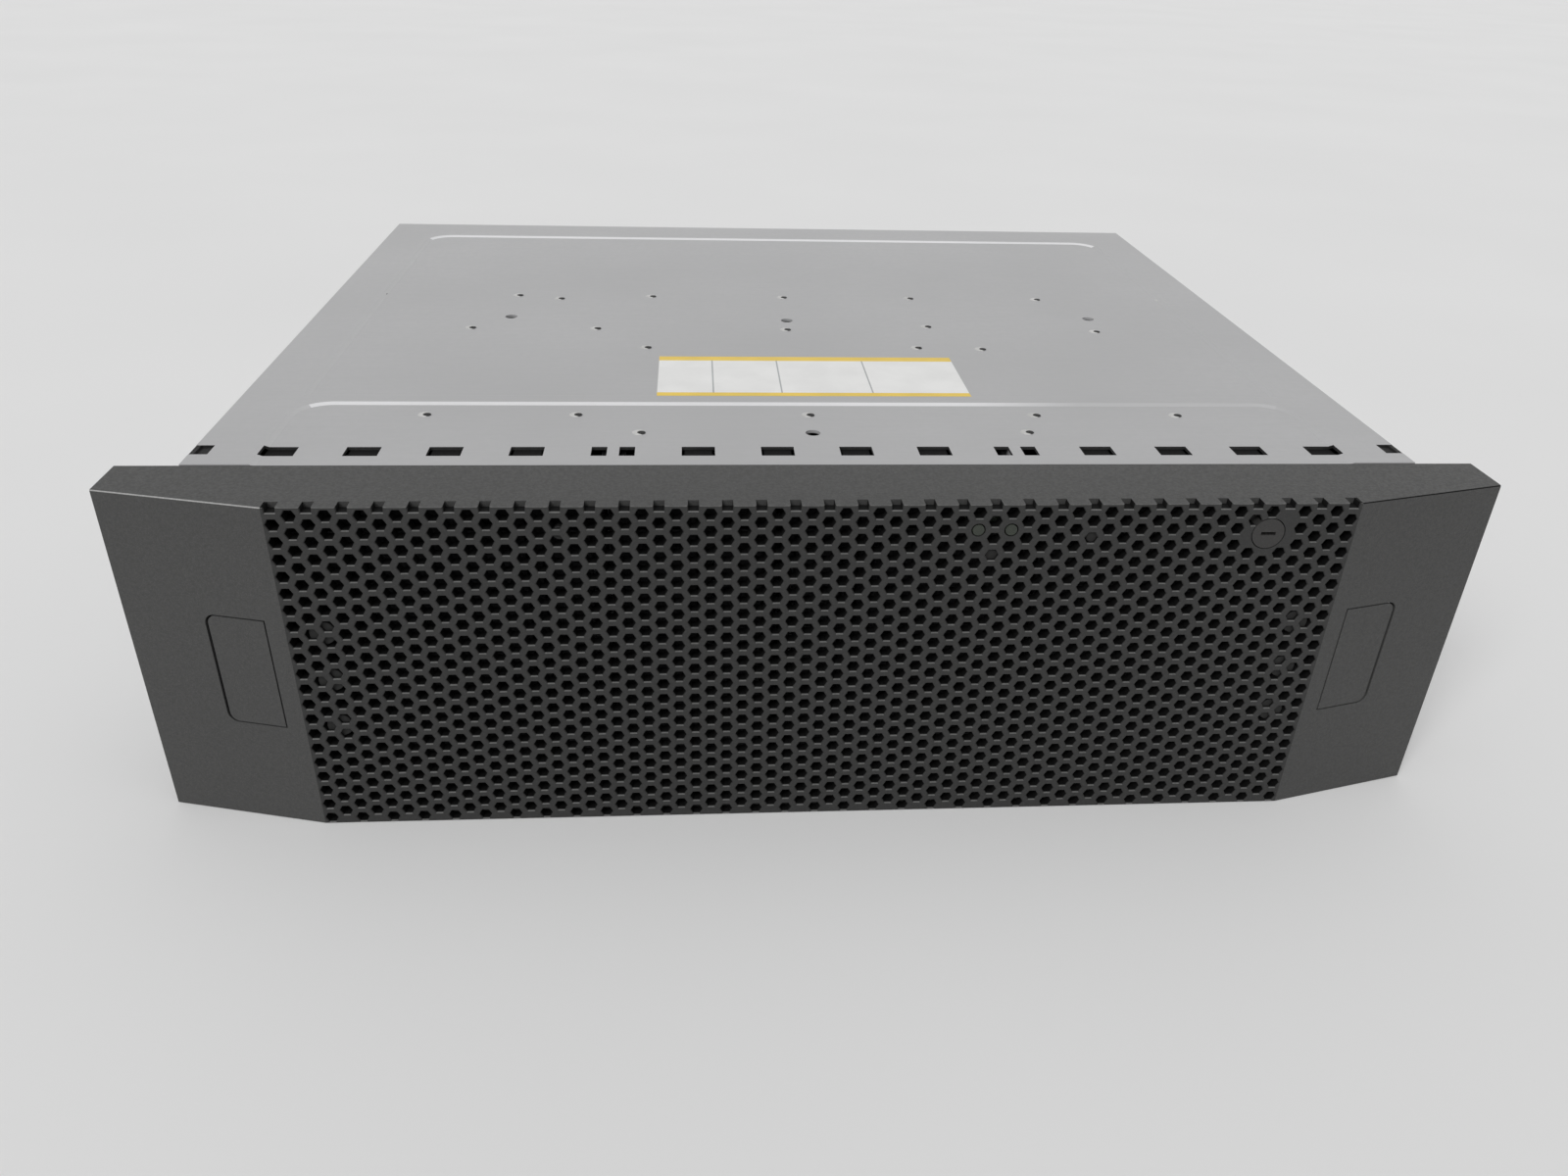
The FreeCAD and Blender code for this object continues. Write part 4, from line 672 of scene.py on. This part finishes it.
def slot_spans():
    """The x range of each slot in the row over the lines between bays."""
    middles = [middle_mm("disk_module_" + bay).x for bay in BAYS]
    half_pitch = (middles[1] - middles[0]) / 2
    spans = [(-SIDE - 1, middles[0] - half_pitch + SLOT_LENGTH / 2)]
    for i, (left, right) in enumerate(zip(middles, middles[1:])):
        middle = (left + right) / 2
        if i + 1 in PARTITION_BAYS:
            near, far = SHORT_SLOT
            spans += [(middle - far, middle - near), (middle + near, middle + far)]
        else:
            spans.append((middle - SLOT_LENGTH / 2, middle + SLOT_LENGTH / 2))
    spans.append((middles[-1] + half_pitch - SLOT_LENGTH / 2, SIDE + 1))
    return spans


def cover_sheet():
    """The cover with rounded edges and its slots cut clean, their walls dark with painted shade.
    Materials: 0 sheet, 1 painted shade, 2 a painted highlight on the slope behind the second panel,
    3 a painted highlight that fades along x on the slope behind the first, 4 left slopes lightened
    with painted light."""
    y0, y1 = (FRONT + depth for depth in SLOT_DEPTHS)

    def slotted(bm):
        cutter = bmesh.new()
        for x0, x1 in slot_spans():
            box(cutter, x0, x1, y0, y1, COVER_TOP - SLOT_CUT, COVER_TOP + 2)
        cut_mesh(bm, cutter)

    sheet = softened("top_cover", "cover_sheet",
                     [STEEL, SHADOW, SLOPE_HIGHLIGHT_STEEL, FADING_HIGHLIGHT_STEEL, LIGHTENED_SIDE_SLOPE], 0.3, turn=12, adjust=slotted)
    for face in sheet.data.polygons:
        spot, normal = face.center / MM, face.normal
        in_slot = y0 - 0.2 < spot.y < y1 + 0.2 and spot.z < COVER_TOP - 0.3
        # slot walls: painted shade
        if in_slot and abs(normal.z) < 0.4:
            face.material_index = 1
        # front-facing slopes: painted highlights; left slopes: painted light
        elif normal.y < -0.15 and normal.z > 0.5 and spot.y > FRONT + PRESSING[0] - 2:
            face.material_index = 3 if spot.y < FRONT + PRESSING[1] else 2
        elif normal.x > 0.15 and normal.z > 0.5 and spot.x < 0:
            face.material_index = 4
    bm = bmesh.new()
    for side in (-1, 1):            # painted shadow: dark fillers of the end slots, in the sheet's edge and behind it
        edge = sorted((side * (SIDE - 0.05), side * (SIDE - 1.6)))
        box(bm, *edge, y0, y1, TUB_TOP - 0.05, COVER_TOP - 0.1)
        inside = sorted((side * (SIDE - 1.5), side * (SIDE - 6.5)))
        box(bm, *inside, y0, y1, TUB_TOP - 0.3, TUB_TOP + 0.1)
    piece("slot_shadows", bm, "chassis", [SHADOW])


def rack_ears():
    """The ears, whose top edges stay below the cover and behind the bezel."""
    def lowered(bm):
        for vert in bm.verts:
            if vert.co.z > BEZEL_TOP - 1:
                vert.co.z = BEZEL_TOP - EAR_DROP

    softened("rack_ears", "rack_brackets", [EAR_PAINT], 0.3, adjust=lowered)


def pressed_top(depth):
    """Height of the cover's outside at a distance behind the front."""
    pressed = depth < PRESSING[0] or PRESSING[1] < depth < PRESSING[2]
    return COVER_TOP - PRESSING_DROP if pressed else COVER_TOP


def sticker():
    """A plain label: a white field in four panels between two bands."""
    bm = bmesh.new()
    x0, x1 = STICKER_X
    y0, y1 = (FRONT + depth for depth in STICKER_DEPTHS)
    bend = FRONT + PRESSING[1]
    top, low = COVER_TOP - 0.02, COVER_TOP - PRESSING_DROP + 0.08

    def strip(xa, xb, ya, yb, lift, slot):
        """A piece of the label that follows the panel's sloping edge."""
        edge = [ya] + ([bend] if ya < bend < yb else []) + [yb]
        heights = [lift + (low if y >= bend else top - (top - low) * (y - y0) / (bend - y0))
                   for y in edge]
        for (ya, za), (yb, zb) in zip(zip(edge, heights), list(zip(edge, heights))[1:]):
            corners = [(xa, ya, za), (xb, ya, za), (xb, yb, zb), (xa, yb, zb)]
            upper = [bm.verts.new(corner) for corner in corners]
            lower = [bm.verts.new((x, y, z - 0.1)) for x, y, z in corners]
            faces = [upper, lower[::-1]]
            faces += [[upper[i], lower[i], lower[(i + 1) % 4], upper[(i + 1) % 4]] for i in range(4)]
            for face in faces:
                bm.faces.new(face).material_index = slot

    strip(x0, x1, y0 + STICKER_BAND, y1 - STICKER_BAND, 0, 0)
    strip(x0, x1, y0, y0 + STICKER_BAND, 0, 1)
    strip(x0, x1, y1 - STICKER_BAND, y1, 0, 1)
    for share in STICKER_DIVIDERS:
        x = x0 + (x1 - x0) * share
        strip(x - 0.3, x + 0.3, y0 + STICKER_BAND, y1 - STICKER_BAND, 0.03, 2)
    piece("cover_label", bm, "chassis", [LABEL_WHITE, LABEL_YELLOW, LABEL_GREY])


cover_sheet()
rack_ears()
cover_marks()
sticker()


# ---------------- materials of the remaining CAD nodes
def paint_node(name, *materials):
    mesh = frame["nodes"][name].data
    mesh.materials.clear()
    for material in materials:
        mesh.materials.append(material)


for node, material in (("chassis_tub", STEEL), ("module_shelf", STEEL), ("guide_rails", GUIDE),
                       ("midplane_board", BOARD), ("midplane_connectors", CONNECTOR),
                       ("lock_housing", LOCK_METAL), ("lock_barrel", LOCK_METAL),
                       ("status_light_pipes", LIGHT_PIPE)):
    paint_node(node, material)
paint_node("bay_partitions", STEEL, SHADOW)
for face in frame["nodes"]["bay_partitions"].data.polygons:
    face.material_index = 1 if face.normal.y < -0.5 else 0      # painted shade: dark front edges behind the lattice


# ---------------- disk modules
FASCIA_FRONT = box_mm("disk_module_01")[0].y + 6.6      # the hinge ears stand in front of it
DRIVE_SIDE = 13.1                   # from the module's middle
DRIVE_SPAN = (-167.8, -20.8)        # front and rear of the drive
DRIVE_RISE = (14.3, 115.9)          # its underside and top
DRIVE_SKIN = 0.22                   # lid and board stand out by this
DRIVE_LAMP_Z = 121.5
GRIP_RIBS, GRIP_FROM, GRIP_PITCH = 7, 60, 4     # ribs on a handle, height of the lowest


def disk_part(low, high):
    """Material number of a loose part of a module: 0 fascia, 1 carrier, 2 drive, 3 small plugs."""
    depth, rise = high.y - low.y, high.z - low.z
    if depth < 8:
        return 3
    if depth < 20:
        return 0
    return 2 if rise > 60 else 1


def disk_drive_details(bm, x):
    """Lid with its spindle boss and screws on one side of the drive, circuit board on the other."""
    side = x + DRIVE_SIDE
    out = side + DRIVE_SKIN
    y0, y1 = DRIVE_SPAN
    z0, z1 = DRIVE_RISE
    box(bm, side - 0.1, out, y0 + 4, y1 - 16, z0 + 3, z1 - 3, 0, 0.08)
    for radius, y, z in ((27, y0 + 62, 65), (13, y0 + 62, 65), (9, y1 - 34, 88)):
        tube(bm, (out - 0.02, y, z), "x", [(0, radius - 1.2), (0.06, radius - 0.8),
                                           (0.06, radius + 0.8), (0, radius + 1.2)], 0, 40)
    for y in (y0 + 9, (y0 + y1) / 2 - 6, y1 - 21):
        for z in (z0 + 7, z1 - 7):
            tube(bm, (out - 0.03, y, z), "x", [(0, 2.6), (0.07, 2.4), (0.07, 1.2), (-0.02, 1.0),
                                               (-0.02, 0)], 1, 16)
    side = x - DRIVE_SIDE
    out = side - DRIVE_SKIN
    box(bm, out, side + 0.1, y0 + 52, y1 - 3, z0 + 4, z0 + 66, 2)
    chips = ((y0 + 70, 20, 16, 16), (y0 + 96, 24, 11, 14), (y0 + 96, 48, 8, 6), (y0 + 72, 48, 9, 9),
             (y1 - 14, 26, 4, 30))
    for y, rise, wide, high in chips:
        z = z0 + rise
        box(bm, out - 0.05, out + 0.1, y - wide / 2, y + wide / 2, z - high / 2, z + high / 2, 3)


def disk_module(bay):
    """A drive in its carrier, with its front handle."""
    name = "disk_module_" + bay
    x = middle_mm(name).x
    softened(name, "disk_%s_carrier" % bay, [FASCIA, CARRIER, DRIVE, CONNECTOR], 0.3,
             disk_part)
    bm = bmesh.new()
    disk_drive_details(bm, x)
    piece("disk_%s_skin" % bay, bm, name, [DRIVE, SCREW, BOARD, CHIP])
    bm = bmesh.new()
    for offset, slot in ((-3.2, 0), (3.2, 1)):
        tube(bm, (x + offset, FASCIA_FRONT, DRIVE_LAMP_Z), "y",
             [(0.2, 1.5), (-0.3, 1.5), (-0.55, 1.1), (-0.6, 0)], slot, 20)
    for z in (7.0, 115.0):
        block(bm, x, FASCIA_FRONT - 0.35, FASCIA_FRONT + 0.1, z, 9, 0.5, 2, 0.15)
    piece("disk_%s_lamps" % bay, bm, name, [LAMP_GREEN, LAMP_AMBER, FASCIA])
    handle = "carrier_handle_" + bay
    softened(handle, "disk_%s_handle" % bay, [HANDLE], 0.5)
    bm = bmesh.new()
    face = box_mm(handle)[1].y - 4.0            # of the handle's arm, in front of its hinge
    for rib in range(GRIP_RIBS):
        block(bm, x, face - 0.25, face + 0.2, GRIP_FROM + GRIP_PITCH * rib, 5.5, 0.6, 0, 0.15)
    box(bm, x - 4.0, x + 4.0, face - 0.3, face + 0.2, 28, 46, 1, 0.15)
    piece("disk_%s_grip" % bay, bm, handle, [HANDLE, GUIDE])


# ---------------- midplane
SOCKET_FRONT, MIDPLANE_FRONT = -16.4, -10.4
CONTACTS = (15, 38.0, 2.3)          # in a column: how many, height of the lowest, pitch


def connector_contacts():
    """Gold contacts in the drive sockets."""
    bm = bmesh.new()
    count, lowest, pitch = CONTACTS
    y0, y1 = SOCKET_FRONT - 0.06, SOCKET_FRONT + 0.2
    for bay in BAYS:
        x = middle_mm("disk_module_" + bay).x
        for column in (-1.1, 1.1):
            for i in range(count):
                block(bm, x + column, y0, y1, lowest + pitch * i, 0.5, 0.6)
    piece("socket_contacts", bm, "chassis", [GOLD])


def midplane_parts():
    """Small packages and capacitors on the midplane's front, between the drive sockets."""
    bm = bmesh.new()
    face = MIDPLANE_FRONT
    for i, (left, right) in enumerate(zip(BAYS, BAYS[1:])):
        if i + 1 in PARTITION_BAYS:
            continue
        x = (middle_mm("disk_module_" + left).x + middle_mm("disk_module_" + right).x) / 2
        z = 92 + 6 * (i % 2)
        block(bm, x, face - 1.1, face + 0.1, z, 3.5, 3.5, 0, 0.2)
        for dz in (-26, -32, 18):
            block(bm, x, face - 0.8, face + 0.1, z + dz, 1.6, 0.8, 1, 0.1)
    piece("midplane_parts", bm, "chassis", [CHIP, HEAT_SINK])


# ---------------- power modules
BLOWER = (173.2, 97.3)       # x and z of an upper blower's axis
BLOWER_SCREWS = (38.0, 25.5)        # from its axis
DUCT = (28.6, 30.4)          # half width and half height of what is black round a blower
DUCT_SPAN = (138.0, 176.7)          # front and rear of it
BRIDGE_Z = 111.2             # middle of the panel between the blowers
INLET_X = -75.0
INLET, INLET_Y = (17.0, 13.0), 155.0        # half sizes of the mains inlet, and its front
PINS, PINS_SPAN = (8.5, 5.5), (159.0, 170.5)        # half sizes round its pins, front and rear
INLET_SCREWS = 20.0          # from its middle
BRIDGE_SCREWS = (119.5, 11.0)       # x, and height above the panel's middle
THUMB_X = 50.0               # of the thumb screws
SWITCH_LAMPS = (100.0, 7.0)         # x of the first lamp, pitch
ROTOR_BLADES = 7
ROTOR_FRONT = 151.6
BLADE_REACH = (10.8, 25.6)          # radii of a blade's root and tip
BLADE_CHORD = (1.25, 0.5)           # angle that it spans at the root, and loss towards the tip
BLADE_SWEEP, BLADE_CAMBER = 0.30, 0.10      # angles
SHAFT_RADIUS = 2.0

# Turned profiles: distance along the axis and radius
GUARD_RING = [(-0.1, 27.8), (0.4, 28.1), (0.6, 28.9), (0.4, 29.8), (-0.1, 30.2)]
THUMB_SCREW = [(-0.1, 4.6), (0.8, 4.6), (1.2, 4.2), (3.6, 4.2), (4.1, 3.6), (4.1, 2.0), (3.3, 1.8),
               (3.3, 0)]
CARD_THUMB_SCREW = [(-0.1, 3.6), (0.6, 3.6), (1.0, 3.3), (3.0, 3.3), (3.4, 2.8), (3.4, 1.6),
                    (2.8, 1.4), (2.8, 0)]
LAMP = [(-0.1, 1.9), (0.3, 1.9), (0.4, 1.5), (0.4, 1.3), (0.9, 1.0), (1.1, 0)]
CARD_LAMP = [(-0.1, 1.6), (0.3, 1.6), (0.4, 1.2), (0.8, 0.8), (0.9, 0)]
CAPACITOR = [(-0.2, 2.4), (0.4, 2.6), (4.6, 2.6), (4.9, 2.2), (4.7, 1.8), (4.7, 0)]


def turn_over(bm, level):
    """Lower modules are the upper ones turned over about the enclosure's middle."""
    if level == "lower":
        bmesh.ops.rotate(bm, cent=(0, 0, SHELF_MIDDLE), matrix=Matrix.Rotation(math.pi, 3, "Y"),
                         verts=bm.verts)


def colour_by_place(node, materials, rule, level="upper"):
    """Gives each face of a CAD node its material from where it lies."""
    paint_node(node, *materials)
    mesh = frame["nodes"][node].data
    for face in mesh.polygons:
        spot = face.center / MM
        if level == "lower":
            spot = Vector((-spot.x, spot.y, 2 * SHELF_MIDDLE - spot.z))
        face.material_index = rule(spot)


def within(spot, x, z, half_sizes):
    return abs(spot.x - x) < half_sizes[0] and abs(spot.z - z) < half_sizes[1]


def power_rule(spot):
    """0 sheet, 1 black plastic of inlet and ducts, 2 metal pins of the inlet."""
    if within(spot, INLET_X, BRIDGE_Z, PINS) and PINS_SPAN[0] < spot.y < PINS_SPAN[1]:
        return 2
    if within(spot, INLET_X, BRIDGE_Z, INLET) and spot.y > INLET_Y:
        return 1
    beside = within(spot, math.copysign(BLOWER[0], spot.x), BLOWER[1], DUCT)
    return 1 if beside and DUCT_SPAN[0] < spot.y < DUCT_SPAN[1] else 0


def power_module(level):
    body = "power_module_" + level
    colour_by_place(body, [MODULE_STEEL, CONNECTOR, SCREW], power_rule, level)
    bm = bmesh.new()
    for side in (-1, 1):
        x, z = side * BLOWER[0], BLOWER[1]
        tube(bm, (x, REAR, z), "y", GUARD_RING, SHEET, 56)
        for right in (-1, 1):
            for up in (-1, 1):
                rear_screw(bm, x + right * BLOWER_SCREWS[0], z + up * BLOWER_SCREWS[1])
        rear_screw(bm, side * BRIDGE_SCREWS[0], BRIDGE_Z + BRIDGE_SCREWS[1])
        tube(bm, (side * THUMB_X, REAR, BRIDGE_Z), "y", THUMB_SCREW, METAL, 32)
    first, pitch = SWITCH_LAMPS
    for i, colour in enumerate((GREEN, AMBER, AMBER)):
        tube(bm, (first + pitch * i, REAR, BRIDGE_Z), "y", LAMP, colour, 20)
    for x in (INLET_X - INLET_SCREWS, INLET_X + INLET_SCREWS):
        rear_screw(bm, x, BRIDGE_Z, 2.0, 0.8)
    turn_over(bm, level)
    piece(body + "_fittings", bm, body, FITTINGS)
    softened("power_switch_" + level, "power_rocker_" + level, [SWITCH], 0.4)
    pull_lever("power_lever_" + level, "power_grip_" + level, level)


def pull_lever(node, name, level):
    """The pull lever with rounded edges and grip ribs below its window."""
    softened(node, name, [LEVER], 0.4)
    low, high = box_mm(node)
    tip, root = (low.z, high.z) if level == "upper" else (high.z, low.z)
    step = 1 if root > tip else -1
    bm = bmesh.new()
    face = REAR + 2.7
    half = (high.x - low.x) / 2 - 6
    for i in range(2):
        z = tip + step * (1.6 + 1.6 * i)
        block(bm, 0, face - 0.2, face + 0.35, z, half, 0.35, 0, 0.12)
    piece(name + "_ribs", bm, node, [LEVER])


def rotor_blade(bm, centre, y0, y1, start, thickness=1.1):
    """A blade that is swept and twisted from hub to tip."""
    spans, chords = 7, 6
    x0, z0 = centre
    root, tip = BLADE_REACH
    chord, loss = BLADE_CHORD
    sheets = []
    for side in (-1, 1):
        rows = []
        for i in range(spans + 1):
            t = i / spans
            radius = root + (tip - root) * t
            row = []
            for j in range(chords + 1):
                c = j / chords
                angle = start + BLADE_SWEEP * t * t + (c - 0.5) * (chord - loss * t)
                angle += BLADE_CAMBER * math.sin(math.pi * c) + side * thickness / 2 / radius
                row.append(bm.verts.new((x0 + radius * math.cos(angle), y0 + (y1 - y0) * c,
                                         z0 + radius * math.sin(angle))))
            rows.append(row)
        sheets.append(rows)
    for rows in sheets:
        for i in range(spans):
            for j in range(chords):
                bm.faces.new([rows[i][j], rows[i + 1][j], rows[i + 1][j + 1], rows[i][j + 1]])
    a, b = sheets
    rim = [(0, j) for j in range(chords)] + [(i, chords) for i in range(spans)]
    rim += [(spans, j) for j in range(chords, 0, -1)] + [(i, 0) for i in range(spans, 0, -1)]
    for (i, j), (k, m) in zip(rim, rim[1:] + rim[:1]):
        bm.faces.new([a[i][j], a[k][m], b[k][m], b[i][j]])


def blower_rotor(level, side):
    """Hub with swept blades; it stands for the plain CAD rotor."""
    node = "blower_rotor_%s_%s" % (level, side)
    low, high = box_mm(node)
    x = math.copysign(BLOWER[0], low.x + high.x)
    z = SHELF_MIDDLE + (1 if level == "upper" else -1) * (BLOWER[1] - SHELF_MIDDLE)
    y0, y1 = ROTOR_FRONT, high.y
    bm = bmesh.new()
    tube(bm, (x, 0, z), "y", [(low.y, 0), (low.y, SHAFT_RADIUS), (y0, SHAFT_RADIUS), (y0, 10.6),
                              (y0 + 0.9, 11.5), (y1 - 1.2, 11.5), (y1 - 0.3, 10.9), (y1, 9.6),
                              (y1, 6.2), (y1 - 0.5, 5.8), (y1 - 0.5, 0)], 0, 42)
    for i in range(ROTOR_BLADES):
        rotor_blade(bm, (x, z), y0 + 1.0, y1 - 1.0, 2 * math.pi * i / ROTOR_BLADES)
    obj = piece("rotor_%s_%s" % (level, side), bm, node, [ROTOR])
    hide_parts(node)


# ---------------- link cards
CARD_PANEL_RISE = 13.0       # of its rear panel's middle above the card's underside
CARD_SCREW_X, CARD_THUMB_X = 118.0, 49.56
CARD_LAMPS = (70.0, 9.0)     # x of the first lamp, pitch
CARD_INSIDE = (121.9, 175.9)        # half width and rear of what lies in the tray
BOARD_RISE, SINK_RISE, INSIDE_TOP = 69.8, 72.5, 84.7
BOARD_TOP = 71.6
CARD_CHIPS = ((-60, 60, 22, 22, 1.6), (60, 50, 18, 14, 1.4), (-20, 130, 14, 20, 1.2),
              (75, 120, 12, 12, 1.2), (40, 150, 9, 6, 1.0), (-95, 90, 10, 10, 1.2),
              (95, 90, 8, 12, 1.0))         # x, y, width, length, height
CAPACITORS = ((-110, -104, -98, 98, 104, 110), 24)      # x of each, y of all


def card_rule(spot):
    """0 tray, 1 circuit board, 2 metal of the heat sink."""
    if abs(spot.x) < CARD_INSIDE[0] and spot.y < CARD_INSIDE[1] and BOARD_RISE < spot.z < INSIDE_TOP:
        return 2 if spot.z > SINK_RISE else 1
    return 0


def link_card(level):
    body = "link_card_" + level
    colour_by_place(body, [MODULE_STEEL, BOARD, HEAT_SINK], card_rule, level)
    z = box_mm("link_card_upper")[0].z + CARD_PANEL_RISE
    bm = bmesh.new()
    for side in (-1, 1):
        rear_screw(bm, side * CARD_SCREW_X, z)
        tube(bm, (side * CARD_THUMB_X, REAR, z), "y", CARD_THUMB_SCREW, METAL, 28)
    first, pitch = CARD_LAMPS
    for i, colour in enumerate((GREEN, AMBER, GREEN, GREEN)):
        tube(bm, (first + pitch * i, REAR, z), "y", CARD_LAMP, colour, 18)
    turn_over(bm, level)
    piece(body + "_fittings", bm, body, FITTINGS)
    bm = bmesh.new()
    for x, y, wide, deep, high in CARD_CHIPS:
        box(bm, x - wide / 2, x + wide / 2, y - deep / 2, y + deep / 2, BOARD_TOP - 0.2,
            BOARD_TOP + high, 0, 0.2)
    for x in CAPACITORS[0]:
        tube(bm, (x, CAPACITORS[1], BOARD_TOP), "z", CAPACITOR, METAL, 20)
    turn_over(bm, level)
    piece(body + "_parts", bm, body, [CHIP, SCREW])
    pull_lever("card_lever_" + level, "card_grip_" + level, level)


# ---------------- chassis fastenings
RIVET_SPAN = (FRONT + 50, REAR - 20)
RIVETS = 9                   # along each side, near the floor; every fourth has one above it
RIVET_LOW, RIVET_HIGH = 8.0, 60.0


def chassis_rivets():
    """Flat rivets along the sides of the tub."""
    bm = bmesh.new()
    first, last = RIVET_SPAN
    for side in (-1, 1):
        profile = [(0, 2.3), (side * 0.2, 2.2), (side * 0.33, 1.6), (side * 0.34, 0)]
        for i in range(RIVETS):
            y = first + i * (last - first) / (RIVETS - 1)
            for z in (RIVET_LOW, RIVET_HIGH) if i % 4 == 0 else (RIVET_LOW,):
                tube(bm, (side * (SIDE - 0.35), y, z), "x", profile, 0, 18)
    piece("chassis_rivets", bm, "chassis", [SCREW])


for bay in BAYS:
    disk_module(bay)
connector_contacts()
midplane_parts()
for level in ("upper", "lower"):
    power_module(level)
    link_card(level)
    for side in ("left", "right"):
        blower_rotor(level, side)
chassis_rivets()


# ---------------- floor, light and camera
FLOOR_HALF = 60.0            # metres
CAMERA_PLACE = (-44.4, -563.4, 301.0)
CAMERA_TOWARDS = (0.07359, 0.86551, -0.49545)
CAMERA_UP = (0.00929, 0.49618, 0.86817)
SENSOR_WIDTH, FOCAL_LENGTH = 36.0, 27.276


def stage():
    """A plain pale floor."""
    bm = bmesh.new()
    bmesh.ops.create_grid(bm, x_segments=1, y_segments=1, size=FLOOR_HALF)
    mesh = bpy.data.meshes.new("floor")
    bm.to_mesh(mesh)
    bm.free()
    material, tree, principled, place = shader("floor_card", (0.80, 0.80, 0.80), 0.0, 0.8)
    tone = ramp(tree, noise(tree, place, 3, 2), [(0.3, (0.79,) * 3), (0.7, (0.81,) * 3)])
    fed(tree, principled, Base_Color=tone)
    mesh.materials.append(material)
    placed("floor", mesh)


def world_light(strength):
    """White all round: full strength to the camera and in reflections, less as light."""
    world = bpy.data.worlds.new("studio")
    bpy.context.scene.world = world
    world.use_nodes = True
    tree = world.node_tree
    rays = tree.nodes.new("ShaderNodeLightPath")
    seen = rays.outputs["Is Camera Ray"]
    for kind in ("Is Transmission Ray", "Is Glossy Ray"):
        either = tree.nodes.new("ShaderNodeMath")
        either.operation = "MAXIMUM"
        tree.links.new(seen, either.inputs[0])
        tree.links.new(rays.outputs[kind], either.inputs[1])
        seen = either.outputs[0]
    level = spread(tree, seen, strength, 1.0, 0.0, 1.0)
    fed(tree, tree.nodes["Background"], Color=(1, 1, 1, 1), Strength=level)


def soft_sun(name, towards, spread_angle, strength):
    """An even, soft light from a direction; spread_angle is in degrees."""
    light = bpy.data.lights.new(name, "SUN")
    light.angle = math.radians(spread_angle)
    light.energy = strength
    obj = placed(name, light)
    obj.rotation_euler = Vector(towards).to_track_quat("Z", "Y").to_euler()


def camera():
    """Seen from in front and a little left of the middle, looking down."""
    place = Vector(CAMERA_PLACE) * MM
    along = Vector(CAMERA_TOWARDS).normalized()
    right = along.cross(Vector(CAMERA_UP)).normalized()
    up = right.cross(along)
    turn = Matrix((right, up, -along)).transposed()
    lens = bpy.data.cameras.new("camera")
    lens.sensor_width = SENSOR_WIDTH
    lens.lens = FOCAL_LENGTH
    lens.clip_start = 0.01
    obj = placed("camera", lens)
    obj.matrix_world = Matrix.Translation(place) @ turn.to_4x4()
    bpy.context.scene.camera = obj


stage()
world_light(0.45)
soft_sun("key", (-0.45, -0.62, 0.64), 25, 1.6)
soft_sun("overhead", (0.1, -0.1, 1.0), 70, 0.25)
camera()
bpy.context.scene.view_settings.view_transform = "Standard"
